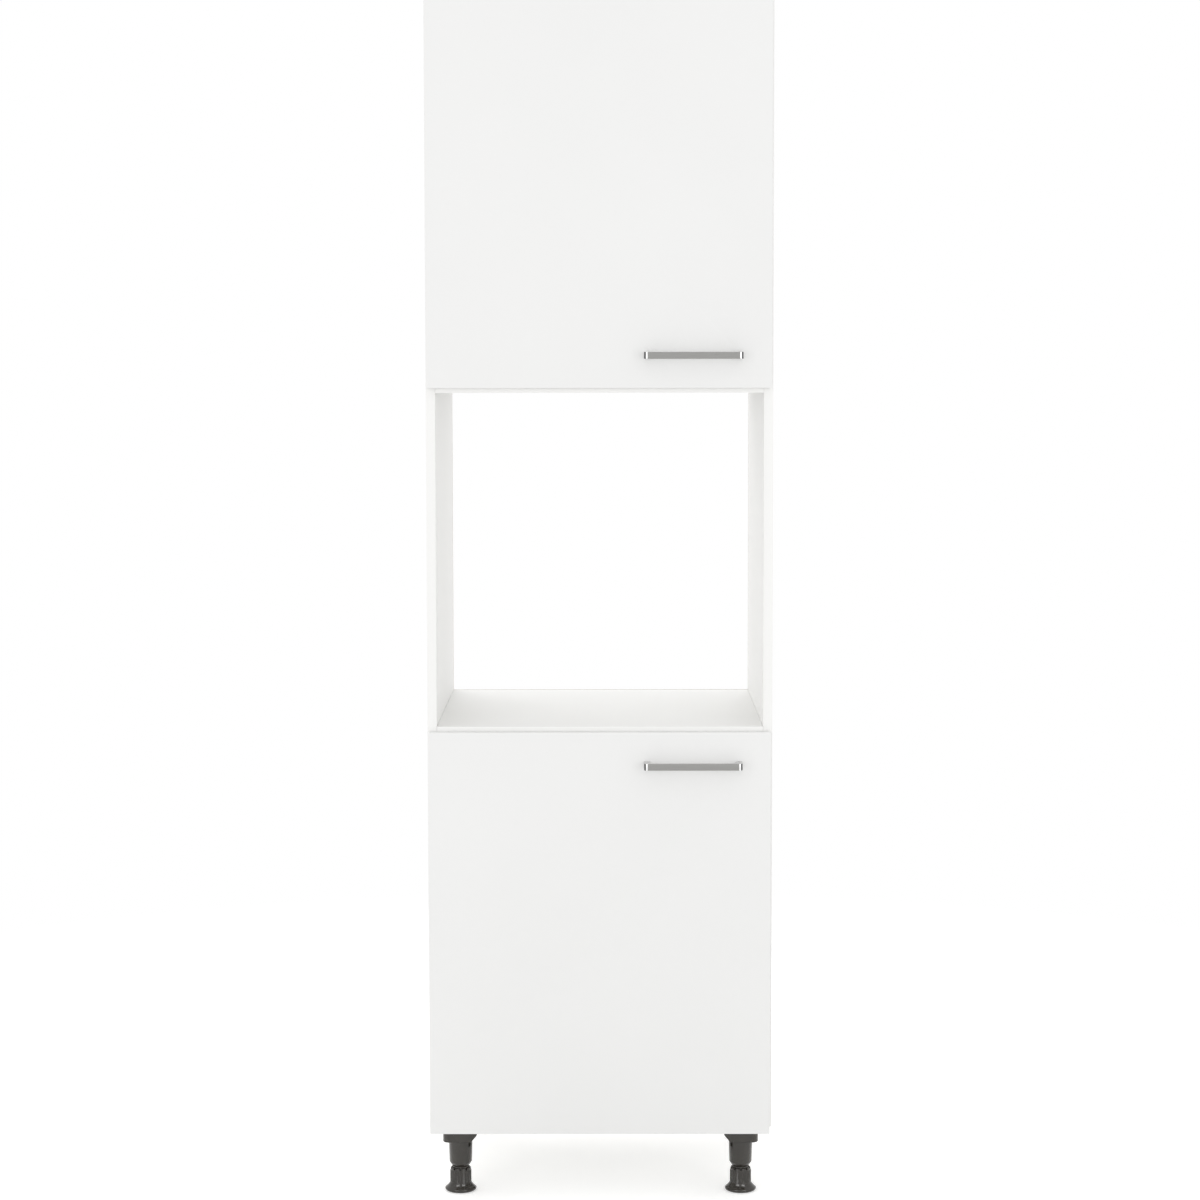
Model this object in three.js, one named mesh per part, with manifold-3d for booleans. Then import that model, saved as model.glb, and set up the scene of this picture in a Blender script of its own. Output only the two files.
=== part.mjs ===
// Tall kitchen cabinet that houses a built-in oven: two slab doors, an open niche between
// them, a board carcass on four adjustable legs, and concealed two-link cup hinges.
// Millimetres. +X right, +Z up, the doors face -Y, the origin is on the floor under the middle.
import * as THREE from 'three';
import { mergeVertices } from 'three/addons/utils/BufferGeometryUtils.js';
import Module from 'manifold-3d';

const wasm = await Module();
wasm.setup();

// ---------------------------------------------------------------- driving dimensions
// Carcass
const WIDTH = 600;              // over both side panels
const BOARD = 16;               // melamine board
const CARCASS_DEPTH = 553;      // front edge to rear edge of a side panel
const LOWER_DOOR_H = 708;
const DOOR_TO_DOOR = 597;       // open front between the two doors
const UPPER_DOOR_H = 663;
const NICHE_H = 580;            // clear height for the oven
const DOOR_DROP = 8;            // how far the lower door hangs below the carcass
const SEAM = 0.2;               // play between boards that are dowelled together
const PLAY = 0.3;               // play round a piece that seats in or on another

// Back panels
const BACK_T = 3;
const GROOVE_DEPTH = 7;
const GROOVE_INSET = 6;         // from the rear edge of the side panel to the groove
const BACK_SIDE_PLAY = 0.5;

// Shelves and their pins
const SHELF_SETBACK = 20;
const SHELF_REAR_PLAY = 8.4;    // to the front of the back panel's groove
const SHELF_SIDE_PLAY = 0.6;
const PIN_R = 2.5;
const PIN_IN_BOARD = 8;
const PIN_OUT = 9;
const PIN_COLLAR_R = 4.5;
const PIN_COLLAR_T = 1.5;
const PIN_HOLE_DEPTH = 9;
const PIN_HOLE_PITCH = 32;
const PIN_HOLES_EACH_WAY = 1;   // spare holes above and below the one in use
const PIN_ROW_INSET = 60;       // from the shelf's front and rear edges

// Doors
const DOOR_T = 16;
const DOOR_LEFT_REVEAL = 1.5;
const DOOR_RIGHT_REVEAL = 3.5;
const DOOR_GAP = 2;             // between the carcass front and the door's back
const DOOR_EDGE = 0.8;          // softened edge
const BUMPER_R = 4;
const BUMPER_FROM_END = 60;
const BUMPER_FROM_EDGE = 6;

// Bow handles
const HANDLE_HOLES = 160;       // screw to screw
const HANDLE_POST = 10;
const HANDLE_H = 12;
const HANDLE_REACH = 30;        // door face to the front of the bar
const HANDLE_BAR = 6;
const HANDLE_OUTER_R = 6;
const HANDLE_INNER_R = 3;
const HANDLE_FROM_END = 56;     // bar centre to the door end beside the niche
const HANDLE_FROM_EDGE = 55;    // near screw to the free edge of the door
const SCREW_R = 2;
const SCREW_PLAY = 0.4;
const SCREW_HEAD_R = 4.2;
const SCREW_HEAD_T = 2.4;
const SCREW_IN_POST = 9;
const SCREW_CROSS = 4.6;        // length of the cross-shaped recess in a screw head
const SCREW_CROSS_W = 1;

// Legs
const LEG_H = 130;              // floor to the underside of the carcass
const LEG_FROM_SIDE = 51;
const LEG_FROM_FRONT = 60;
const LEG_FROM_REAR = 60;
const FOOT_H = 42;
const FOOT_PAD_R = 28;
const FOOT_REST_R = 22;
const FOOT_TOE_IN = 2;          // how far the pad's lower edge is rounded in, and how high
const FOOT_TOE_H = 1.4;
const FOOT_RIM_LOW = 3.6;
const FOOT_RIM_IN = 0.6;
const FOOT_RIM_H = 6;
const FOOT_FLARE_R = 22.5;      // two places on the hollow curve from the pad up to the sleeve
const FOOT_FLARE_LOW = 10.2;
const FOOT_WAIST_R = 19.4;
const FOOT_WAIST_H = 14.4;
const FOOT_FLARE_H = 17;
const SLEEVE_R = 18;
const SLEEVE_BORE_R = 15.2;
const SLEEVE_FLOOR = 20;
const SLEEVE_CHAMFER = 2;
const SLEEVE_RIB = 0.7;
const SLEEVE_RIBS = 14;
const SLEEVE_RIBS_LOW = 15.5;   // where the ribs run out into the flare
const TEETH = 8;
const TOOTH_GAP = 3.6;
const TOOTH_DEEP = 3;
const STUD_R = 10;
const STUD_PLAY = 0.4;
const STUD_IN_HEAD = 6;         // how far the stud reaches into the socket's head
const NECK_R = 14.3;
const NECK_GAP = 2;             // neck that shows above the foot's rim
const NECK_IN_SLEEVE = 14;
const TUBE_TOP_R = 21.2;
const TUBE_LOW_R = 20;
const TUBE_CHAMFER_H = 6.5;
const HEAD_W = 61;              // the socket's square head
const HEAD_D = 54;
const HEAD_H = 38;
const HEAD_CORNER_R = 12;
const HEAD_SLOPE = 11;
const FLANGE_T = 5;
const FLANGE_D = 84;
const FLANGE_HOLE_R = 2.3;
const FLANGE_HOLE_SPREAD = 72;
const FLANGE_HOLE_PAIR = 38;
const FLANGE_CORNER_R = 6;
const CLIP_SLOT_W = 6;
const CLIP_SLOT_H = 7;
const CLIP_SLOT_DEEP = 3;
const CLIP_SLOT_ANGLE = 52;     // degrees round the tube, from the front towards the middle
const FACETS = 20;              // sides of a leg's round parts
const CUP_FACETS = 24;
const HOLE_FACETS = 8;
const PIVOT_FACETS = 8;
const BUTTON_FACETS = 12;       // screw heads, bumpers and hinge barrels

// Wall brackets inside the top rear corners
const BRACKET_W = 30;
const BRACKET_LEG = 28;
const BRACKET_T = 2;
const BRACKET_FROM_SIDE = 70;
const BRACKET_HOLE_R = 3.2;
const BRACKET_SCREW_R = 2.2;
const BRACKET_HOLE_FROM_BEND = 16.8;

// Cup hinges
const HINGE_FROM_END = 97;      // door end to hinge centre
const CUP_R = 17.5;
const CUP_DEPTH = 12.7;
const CUP_WALL = 1;
const CUP_FLOOR = 0.7;
const CUP_EDGE = 3;             // from the door's edge to the cup
const CUP_PROUD = 0.3;
const FLANGE_PROUD = 1.4;       // the wings' two faces, behind the door's back
const FLANGE_UNDER = 0.2;
const WING_R = 8.6;
const WING_CORNER_R = 7.6;
const WING_HOLE_SPREAD = 48;
const WING_OFFSET = 9.5;
const WING_HOLE_R = 2.2;
const PIVOT_R = 1.5;
const EYE_PLAY = 0.35;
const PIN_CLEAR = 0.8;          // from the inner link to the cup's two pins beside it
const ARM_PIVOTS_BEHIND = 6;    // from the carcass's front edge back to the arm's two pivots
const ARM_OUTER_PIVOT_OUT = 20; // from the side panel to the pivot
const ARM_INNER_PIVOT_OUT = 6.8;
const CUP_PIVOT_IN = 7;         // from the cup's rim to the outer link's pivot
const CUP_PIVOT_DEEP = 3;       // from the door's back to it
const LINK_TIP_IN = 4.7;
const LINK_TIP_DEEP = 8.3;
const OUTER_LINK_BARREL_R = 3.3;
const OUTER_LINK_EYE_R = 2.8;
const OUTER_LINK_HALF = 7.2;    // half the link's height
const OUTER_CHEEK_T = 2;
const OUTER_STRAP = 4.2;
const OUTER_LINK_BENDS = [[0.11, -0.5], [0.33, 5], [0.69, 6.2]];
const INNER_LINK_BARREL_R = 3;
const INNER_LINK_TIP_R = 1.7;
const INNER_LINK_HALF = 4;
const INNER_STRAP = 1.8;
const INNER_LINK_BENDS = [[-0.04, 0], [0.1, 6], [0.5, 8.4]];
const BARREL_PLAY = 0.7;        // from the outer link's barrel to the arm round it
const ARM_HALF = 9.8;
const ARM_WALL = 1.6;
const ARM_END = 62;             // behind the carcass's front edge
const ARM_NECK = 28;            // where the arm starts to rise towards its knuckle
const ARM_SHOULDER = 16;
const ARM_NOSE = 2.6;
const ARM_FOOT_OUT = 12;        // from the side panel to the arm's open lower edge
const ARM_CHIN_OUT = 9;
const ARM_CHIN = 17;
const ARM_LIP = 4.2;            // round the inner link's pivot
const PLATE_LINE = 37;          // screw line behind the carcass's front edge
const PLATE_SCREWS = 32;
const PLATE_WING_T = 3;
const PLATE_WING_D = 15;
const PLATE_WING_R = 8;
const PLATE_CORNER_R = 6.5;
const PLATE_RAIL_H = 14;
const PLATE_RAIL_FRONT = 22;
const PLATE_RAIL_SLOPE = 6;
const PLATE_RAIL_PLAY = 0.8;
const PLATE_HOLE_R = 2.6;

// ---------------------------------------------------------------- places worked out
const FRONT_PROJECTION = DOOR_GAP + DOOR_T + HANDLE_REACH;
const FRONT_Y = (FRONT_PROJECTION - CARCASS_DEPTH) / 2;
const REAR_Y = FRONT_Y + CARCASS_DEPTH;
const HALF_W = WIDTH / 2;
const INNER_HALF_W = HALF_W - BOARD;
const BASE_Z = LEG_H;
const LOWER_DOOR_Z = BASE_Z - DOOR_DROP;
const UPPER_DOOR_Z = LOWER_DOOR_Z + LOWER_DOOR_H + DOOR_TO_DOOR;
const TOP_Z = UPPER_DOOR_Z + UPPER_DOOR_H;
const DOOR_LAP = (DOOR_TO_DOOR - NICHE_H) / 2;
const NICHE_FLOOR_Z = LOWER_DOOR_Z + LOWER_DOOR_H + DOOR_LAP;
const NICHE_CEILING_Z = NICHE_FLOOR_Z + NICHE_H;
const GROOVE_BACK_Y = REAR_Y - GROOVE_INSET;
const GROOVE_FRONT_Y = GROOVE_BACK_Y - BACK_T - 2 * PLAY;
const SHELF_W = 2 * (INNER_HALF_W - SHELF_SIDE_PLAY);
const SHELF_FRONT_Y = FRONT_Y + SHELF_SETBACK;
const SHELF_REAR_Y = GROOVE_FRONT_Y - SHELF_REAR_PLAY;
const DOOR_BACK_Y = FRONT_Y - DOOR_GAP;
const DOOR_FACE_Y = DOOR_BACK_Y - DOOR_T;
const DOOR_LEFT_X = -HALF_W + DOOR_LEFT_REVEAL;
const DOOR_RIGHT_X = HALF_W - DOOR_RIGHT_REVEAL;
const CUP_BORE_R = CUP_R + PLAY;
const CUP_RIM_U = DOOR_LEFT_REVEAL + CUP_EDGE;
const CUP_CENTRE_U = CUP_RIM_U + CUP_R;

// ---------------------------------------------------------------- solids
function toManifold(geometry) {
  const bare = geometry.clone();
  bare.deleteAttribute('normal');
  bare.deleteAttribute('uv');
  const merged = mergeVertices(bare, 1e-4);
  const index = merged.index.array;
  const triangles = [];
  for (let i = 0; i < index.length; i += 3) {
    const [a, b, c] = [index[i], index[i + 1], index[i + 2]];
    if (a !== b && b !== c && c !== a) triangles.push(a, b, c);
  }
  return new wasm.Manifold(new wasm.Mesh({
    numProp: 3,
    vertProperties: new Float32Array(merged.attributes.position.array),
    triVerts: new Uint32Array(triangles),
  }));
}

function toGeometry(solid) {
  const mesh = solid.getMesh();
  const geometry = new THREE.BufferGeometry();
  geometry.setAttribute('position', new THREE.BufferAttribute(mesh.vertProperties, 3));
  geometry.setIndex(new THREE.BufferAttribute(mesh.triVerts, 1));
  const flat = geometry.toNonIndexed();
  flat.computeVertexNormals();
  return flat;
}

const join = (...solids) => solids.reduce((all, next) => all.add(next));
const cut = (from, ...tools) => tools.reduce((left, tool) => left.subtract(tool), from);

function block([x0, x1], [y0, y1], [z0, z1]) {
  const box = new THREE.BoxGeometry(x1 - x0, y1 - y0, z1 - z0);
  box.translate((x0 + x1) / 2, (y0 + y1) / 2, (z0 + z1) / 2);
  return toManifold(box);
}

// A round bar of the given length, centred at a point, along x, y or z.
function rod(radius, axis, centre, length, facets = FACETS) {
  const bar = new THREE.CylinderGeometry(radius, radius, length, facets);
  if (axis === 'x') bar.rotateZ(Math.PI / 2);
  if (axis === 'z') bar.rotateX(Math.PI / 2);
  bar.translate(...centre);
  return toManifold(bar);
}

// A revolved piece standing on z = 0. The profile holds [radius, height] pairs.
function turned(profile, facets = FACETS) {
  const lathe = new THREE.LatheGeometry(profile.map(([r, z]) => new THREE.Vector2(r, z)), facets);
  lathe.rotateX(Math.PI / 2);
  return toManifold(lathe);
}

// A plan outline in x and y, raised from z0 to z1.
function raised(shape, [z0, z1], curveSegments = 3) {
  const prism = new THREE.ExtrudeGeometry(shape, { depth: z1 - z0, bevelEnabled: false, curveSegments });
  prism.translate(0, 0, z0);
  return toManifold(prism);
}

function roundedRectangle(x0, x1, y0, y1, r) {
  const shape = new THREE.Shape();
  shape.moveTo(x0 + r, y0);
  shape.lineTo(x1 - r, y0);
  shape.absarc(x1 - r, y0 + r, r, -Math.PI / 2, 0);
  shape.lineTo(x1, y1 - r);
  shape.absarc(x1 - r, y1 - r, r, 0, Math.PI / 2);
  shape.lineTo(x0 + r, y1);
  shape.absarc(x0 + r, y1 - r, r, Math.PI / 2, Math.PI);
  shape.lineTo(x0, y0 + r);
  shape.absarc(x0 + r, y0 + r, r, Math.PI, 1.5 * Math.PI);
  return shape;
}

function move(solid, x, y, z) {
  return solid.translate([x, y, z]);
}

// ---------------------------------------------------------------- finishes
const FINISH = {
  board: { color: 0xf1f0ec, roughness: 0.55, metalness: 0 },
  back: { color: 0xece9e2, roughness: 0.7, metalness: 0 },
  door: { color: 0xf3f2ef, roughness: 0.45, metalness: 0 },
  steel: { color: 0xb4b6b8, roughness: 0.35, metalness: 0.9 },
  brushed: { color: 0xa3a4a4, roughness: 0.32, metalness: 0.95 },
  plastic: { color: 0x3d3a38, roughness: 0.5, metalness: 0 },
  bumper: { color: 0xe6e6e2, roughness: 0.8, metalness: 0 },
};

const unit = new THREE.Group();
unit.name = 'tall_oven_housing_unit';

function piece(name, solid, finish) {
  const mesh = new THREE.Mesh(toGeometry(solid), new THREE.MeshStandardMaterial(FINISH[finish]));
  mesh.name = name;
  unit.add(mesh);
  return mesh;
}

// ---------------------------------------------------------------- carcass
const COMPARTMENTS = [
  { name: 'lower', floor: BASE_Z + BOARD, ceiling: NICHE_FLOOR_Z - BOARD },
  { name: 'upper', floor: NICHE_CEILING_Z + BOARD, ceiling: TOP_Z - BOARD },
];

// The shelf lies on its pins half way up its compartment.
function pinHeight({ floor, ceiling }) {
  return (floor + ceiling) / 2;
}

const PIN_ROWS = [
  { row: 'front', y: SHELF_FRONT_Y + PIN_ROW_INSET },
  { row: 'rear', y: SHELF_REAR_Y - PIN_ROW_INSET },
];

function sidePanel(side) {
  const inner = side * INNER_HALF_W;
  const outer = side * HALF_W;
  const spanX = side < 0 ? [outer, inner] : [inner, outer];
  const board = block(spanX, [FRONT_Y, REAR_Y], [BASE_Z, TOP_Z]);
  const grooveFloor = side * (INNER_HALF_W + GROOVE_DEPTH);
  const past = side * (INNER_HALF_W - 1);
  const grooveX = side < 0 ? [grooveFloor, past] : [past, grooveFloor];
  const groove = block(grooveX, [GROOVE_FRONT_Y, GROOVE_BACK_Y], [BASE_Z - 1, TOP_Z + 1]);
  const holes = [];
  for (const compartment of COMPARTMENTS) {
    for (const { y } of PIN_ROWS) {
      for (let i = -PIN_HOLES_EACH_WAY; i <= PIN_HOLES_EACH_WAY; i += 1) {
        const z = pinHeight(compartment) + i * PIN_HOLE_PITCH;
        const x = side * (INNER_HALF_W + (PIN_HOLE_DEPTH - 1) / 2);
        holes.push(rod(PIN_R + PLAY, 'x', [x, y, z], PIN_HOLE_DEPTH + 1, HOLE_FACETS));
      }
    }
  }
  return cut(board, groove, ...holes);
}

piece('side_panel_left', sidePanel(-1), 'board');
piece('side_panel_right', sidePanel(1), 'board');

function crossPanel(bottomZ) {
  const half = INNER_HALF_W - SEAM;
  return block([-half, half], [FRONT_Y, GROOVE_FRONT_Y], [bottomZ, bottomZ + BOARD]);
}

piece('top_panel', crossPanel(TOP_Z - BOARD), 'board');
piece('niche_ceiling_panel', crossPanel(NICHE_CEILING_Z), 'board');
piece('niche_floor_panel', crossPanel(NICHE_FLOOR_Z - BOARD), 'board');
piece('bottom_panel', crossPanel(BASE_Z), 'board');

const BRACKET_XS = [-1, 1].map((side) => side * (INNER_HALF_W - BRACKET_FROM_SIDE));
const BRACKET_HOLE_Z = TOP_Z - BOARD - PLAY - BRACKET_HOLE_FROM_BEND;

function backPanel(z0, z1, holes) {
  const half = INNER_HALF_W + GROOVE_DEPTH - BACK_SIDE_PLAY;
  const front = GROOVE_FRONT_Y + PLAY;
  const sheet = block([-half, half], [front, front + BACK_T], [z0, z1]);
  return cut(sheet, ...holes);
}

const wallHoles = BRACKET_XS.map((x) => (
  rod(BRACKET_HOLE_R, 'y', [x, GROOVE_BACK_Y, BRACKET_HOLE_Z], 4 * BACK_T, HOLE_FACETS)
));
piece('back_panel_upper', backPanel(NICHE_CEILING_Z, TOP_Z, wallHoles), 'back');
piece('back_panel_lower', backPanel(BASE_Z, NICHE_FLOOR_Z, []), 'back');

for (const compartment of COMPARTMENTS) {
  const bottom = pinHeight(compartment) + PIN_R + PLAY;
  const spanX = [-SHELF_W / 2, SHELF_W / 2];
  const shelf = block(spanX, [SHELF_FRONT_Y, SHELF_REAR_Y], [bottom, bottom + BOARD]);
  piece(`shelf_${compartment.name}`, shelf, 'board');
  for (const side of [-1, 1]) {
    for (const { row, y } of PIN_ROWS) {
      const z = pinHeight(compartment);
      const centreX = side * (INNER_HALF_W + (PIN_IN_BOARD - PIN_OUT) / 2);
      const collarX = side * (INNER_HALF_W - PLAY - PIN_COLLAR_T / 2);
      const disc = rod(PIN_COLLAR_R, 'x', [collarX, y, z], PIN_COLLAR_T, HOLE_FACETS);
      const underHalf = block(
        [collarX - PIN_COLLAR_T, collarX + PIN_COLLAR_T], [y - PIN_R, y + PIN_R], [z - PIN_COLLAR_R, z],
      );
      const peg = rod(PIN_R, 'x', [centreX, y, z], PIN_IN_BOARD + PIN_OUT, HOLE_FACETS);
      const pin = join(peg, disc.intersect(underHalf));
      piece(`shelf_pin_${compartment.name}_${side < 0 ? 'left' : 'right'}_${row}`, pin, 'steel');
    }
  }
}

// An angle of bent steel under the top panel, against the back panel, with its wall-screw hole.
function wallBracket(x) {
  const top = TOP_Z - BOARD - PLAY;
  const back = GROOVE_FRONT_Y;
  const spanX = [x - BRACKET_W / 2, x + BRACKET_W / 2];
  const flat = block(spanX, [back - BRACKET_LEG, back], [top - BRACKET_T, top]);
  const upright = block(spanX, [back - BRACKET_T, back], [top - BRACKET_LEG, top]);
  const wallHole = rod(BRACKET_HOLE_R, 'y', [x, back, BRACKET_HOLE_Z], 4 * BRACKET_T, HOLE_FACETS);
  const boardHoleY = back - BRACKET_HOLE_FROM_BEND;
  const boardHole = rod(BRACKET_SCREW_R, 'z', [x, boardHoleY, top], 4 * BRACKET_T, HOLE_FACETS);
  return cut(join(flat, upright), wallHole, boardHole);
}

piece('wall_bracket_left', wallBracket(BRACKET_XS[0]), 'steel');
piece('wall_bracket_right', wallBracket(BRACKET_XS[1]), 'steel');

// ---------------------------------------------------------------- doors
const DOORS = [
  { name: 'upper', z: UPPER_DOOR_Z, height: UPPER_DOOR_H, handleZ: UPPER_DOOR_Z + HANDLE_FROM_END },
  {
    name: 'lower',
    z: LOWER_DOOR_Z,
    height: LOWER_DOOR_H,
    handleZ: LOWER_DOOR_Z + LOWER_DOOR_H - HANDLE_FROM_END,
  },
];

function hingeHeights({ z, height }) {
  return [{ end: 'bottom', z: z + HINGE_FROM_END }, { end: 'top', z: z + height - HINGE_FROM_END }];
}

const CUP_CENTRE_X = -HALF_W + CUP_CENTRE_U;
const HANDLE_RIGHT_X = DOOR_RIGHT_X - HANDLE_FROM_EDGE;
const HANDLE_LEFT_X = HANDLE_RIGHT_X - HANDLE_HOLES;

function door({ z, height, handleZ, name }) {
  const outline = new THREE.Shape();
  outline.moveTo(DOOR_LEFT_X + DOOR_EDGE, z + DOOR_EDGE);
  outline.lineTo(DOOR_RIGHT_X - DOOR_EDGE, z + DOOR_EDGE);
  outline.lineTo(DOOR_RIGHT_X - DOOR_EDGE, z + height - DOOR_EDGE);
  outline.lineTo(DOOR_LEFT_X + DOOR_EDGE, z + height - DOOR_EDGE);
  const slab = new THREE.ExtrudeGeometry(outline, {
    depth: DOOR_T - 2 * DOOR_EDGE,
    bevelThickness: DOOR_EDGE,
    bevelSize: DOOR_EDGE,
    bevelSegments: 2,
  });
  slab.rotateX(Math.PI / 2);
  slab.translate(0, DOOR_BACK_Y - DOOR_EDGE, 0);
  const boreDepth = CUP_DEPTH + PLAY;
  const boreY = DOOR_BACK_Y - boreDepth / 2 + 1;
  const bores = hingeHeights({ z, height }).map((hinge) => (
    rod(CUP_BORE_R, 'y', [CUP_CENTRE_X, boreY, hinge.z], boreDepth + 2, CUP_FACETS)
  ));
  const screwHoles = [HANDLE_LEFT_X, HANDLE_RIGHT_X].map((x) => (
    rod(SCREW_R + SCREW_PLAY, 'y', [x, DOOR_BACK_Y - DOOR_T / 2, handleZ], DOOR_T + 2, HOLE_FACETS)
  ));
  piece(`${name}_door`, cut(toManifold(slab), ...bores, ...screwHoles), 'door');
}

// A flat bar bent into a bow: two posts, a straight front and round corners.
function handleBow(handleZ) {
  const x0 = HANDLE_LEFT_X - HANDLE_POST / 2;
  const x1 = HANDLE_RIGHT_X + HANDLE_POST / 2;
  const y0 = DOOR_FACE_Y - PLAY;
  const y1 = DOOR_FACE_Y - HANDLE_REACH;
  const innerY = y1 + HANDLE_BAR;
  const bow = new THREE.Shape();
  bow.moveTo(x0, y0);
  bow.lineTo(x0, y1 + HANDLE_OUTER_R);
  bow.absarc(x0 + HANDLE_OUTER_R, y1 + HANDLE_OUTER_R, HANDLE_OUTER_R, Math.PI, 1.5 * Math.PI);
  bow.lineTo(x1 - HANDLE_OUTER_R, y1);
  bow.absarc(x1 - HANDLE_OUTER_R, y1 + HANDLE_OUTER_R, HANDLE_OUTER_R, 1.5 * Math.PI, 2 * Math.PI);
  bow.lineTo(x1, y0);
  bow.lineTo(x1 - HANDLE_POST, y0);
  bow.lineTo(x1 - HANDLE_POST, innerY + HANDLE_INNER_R);
  const cornerY = innerY + HANDLE_INNER_R;
  bow.absarc(x1 - HANDLE_POST - HANDLE_INNER_R, cornerY, HANDLE_INNER_R, 0, -Math.PI / 2, true);
  bow.lineTo(x0 + HANDLE_POST + HANDLE_INNER_R, innerY);
  bow.absarc(x0 + HANDLE_POST + HANDLE_INNER_R, cornerY, HANDLE_INNER_R, -Math.PI / 2, -Math.PI, true);
  bow.lineTo(x0 + HANDLE_POST, y0);
  const bar = raised(bow, [handleZ - HANDLE_H / 2, handleZ + HANDLE_H / 2], 6);
  const depth = SCREW_IN_POST + 2 * PLAY;
  const threads = [HANDLE_LEFT_X, HANDLE_RIGHT_X].map((x) => (
    rod(SCREW_R + SCREW_PLAY, 'y', [x, y0 - depth / 2 + 1, handleZ], depth + 2, HOLE_FACETS)
  ));
  return cut(bar, ...threads);
}

function handleScrew(x, handleZ) {
  const tip = DOOR_FACE_Y - PLAY - SCREW_IN_POST;
  const seat = DOOR_BACK_Y + PLAY;
  const shank = rod(SCREW_R, 'y', [x, (tip + seat + 1) / 2, handleZ], seat + 1 - tip, HOLE_FACETS);
  const headAt = [x, seat + SCREW_HEAD_T / 2, handleZ];
  const head = rod(SCREW_HEAD_R, 'y', headAt, SCREW_HEAD_T, BUTTON_FACETS);
  const slotY = [seat + SCREW_HEAD_T / 2, seat + SCREW_HEAD_T + 1];
  const about = (middle, size) => [middle - size / 2, middle + size / 2];
  const slots = [
    block(about(x, SCREW_CROSS), slotY, about(handleZ, SCREW_CROSS_W)),
    block(about(x, SCREW_CROSS_W), slotY, about(handleZ, SCREW_CROSS)),
  ];
  return cut(join(shank, head), ...slots);
}

function bumper(z) {
  const thickness = DOOR_GAP - 2 * PLAY;
  const x = DOOR_RIGHT_X - BUMPER_FROM_EDGE;
  return rod(BUMPER_R, 'y', [x, DOOR_BACK_Y + DOOR_GAP / 2, z], thickness, BUTTON_FACETS);
}

for (const each of DOORS) {
  door(each);
  piece(`${each.name}_handle`, handleBow(each.handleZ), 'brushed');
  piece(`${each.name}_handle_screw_left`, handleScrew(HANDLE_LEFT_X, each.handleZ), 'steel');
  piece(`${each.name}_handle_screw_right`, handleScrew(HANDLE_RIGHT_X, each.handleZ), 'steel');
  piece(`${each.name}_bumper_bottom`, bumper(each.z + BUMPER_FROM_END), 'bumper');
  piece(`${each.name}_bumper_top`, bumper(each.z + each.height - BUMPER_FROM_END), 'bumper');
}

// ---------------------------------------------------------------- cup hinges
// Plan place to x and y: u runs right from the carcass's left face, v ahead of its front edges.
function plan([u, v]) {
  return [-HALF_W + u, FRONT_Y - v];
}

function planShape(points) {
  return new THREE.Shape(points.map((point) => new THREE.Vector2(...plan(point))));
}

function pivot(radius, place, [z0, z1], facets = PIVOT_FACETS) {
  return rod(radius, 'z', [...plan(place), (z0 + z1) / 2], z1 - z0, facets);
}

// The plan outline of a strap of even width that follows a smooth curve through some places.
function strapShape(places, width, steps = 6) {
  const curve = new THREE.SplineCurve(places.map((place) => new THREE.Vector2(...place)));
  const left = [];
  const right = [];
  for (let i = 0; i <= steps; i += 1) {
    const at = curve.getPoint(i / steps);
    const along = curve.getTangent(i / steps);
    left.push([at.x - along.y * width / 2, at.y + along.x * width / 2]);
    right.unshift([at.x + along.y * width / 2, at.y - along.x * width / 2]);
  }
  return planShape([...left, ...right]);
}

// The hinge's pivots, in plan. The side panel's inner face is at BOARD, the door's back at DOOR_GAP.
const ARM_OUTER_PIVOT = [BOARD + ARM_OUTER_PIVOT_OUT, -ARM_PIVOTS_BEHIND];
const ARM_INNER_PIVOT = [BOARD + ARM_INNER_PIVOT_OUT, -ARM_PIVOTS_BEHIND];
const CUP_OUTER_PIVOT = [CUP_RIM_U + CUP_PIVOT_IN, DOOR_GAP + CUP_PIVOT_DEEP];
const INNER_LINK_TIP = [CUP_RIM_U + LINK_TIP_IN, DOOR_GAP + LINK_TIP_DEEP];

// A link's centre line: its bends are shares of the way across and depths behind the door's back.
function linkPath(from, bends, to) {
  const middle = bends.map(([share, deep]) => [from[0] + share * (to[0] - from[0]), DOOR_GAP + deep]);
  return [from, ...middle, to];
}

function outerLink(z) {
  const strap = strapShape(linkPath(ARM_OUTER_PIVOT, OUTER_LINK_BENDS, CUP_OUTER_PIVOT), OUTER_STRAP);
  const whole = [z - OUTER_LINK_HALF, z + OUTER_LINK_HALF];
  const barrel = pivot(OUTER_LINK_BARREL_R, ARM_OUTER_PIVOT, whole, BUTTON_FACETS);
  const cheeks = [-1, 1].map((side) => {
    const near = z + side * (OUTER_LINK_HALF - OUTER_CHEEK_T);
    const far = z + side * OUTER_LINK_HALF;
    const span = [Math.min(near, far), Math.max(near, far)];
    return join(raised(strap, span), pivot(OUTER_LINK_EYE_R, CUP_OUTER_PIVOT, span));
  });
  const through = [z - ARM_HALF, z + ARM_HALF];
  return cut(
    join(barrel, ...cheeks),
    pivot(PIVOT_R + EYE_PLAY, ARM_OUTER_PIVOT, through),
    pivot(PIVOT_R + EYE_PLAY, CUP_OUTER_PIVOT, through),
  );
}

function innerLink(z) {
  const span = [z - INNER_LINK_HALF, z + INNER_LINK_HALF];
  const path = linkPath(ARM_INNER_PIVOT, INNER_LINK_BENDS, INNER_LINK_TIP);
  const strap = raised(strapShape(path, INNER_STRAP), span);
  const barrel = pivot(INNER_LINK_BARREL_R, ARM_INNER_PIVOT, span, BUTTON_FACETS);
  const tip = pivot(INNER_LINK_TIP_R, INNER_LINK_TIP, span);
  const eye = pivot(PIVOT_R + EYE_PLAY, ARM_INNER_PIVOT, [span[0] - 1, span[1] + 1]);
  return cut(join(strap, barrel, tip), eye);
}

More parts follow.
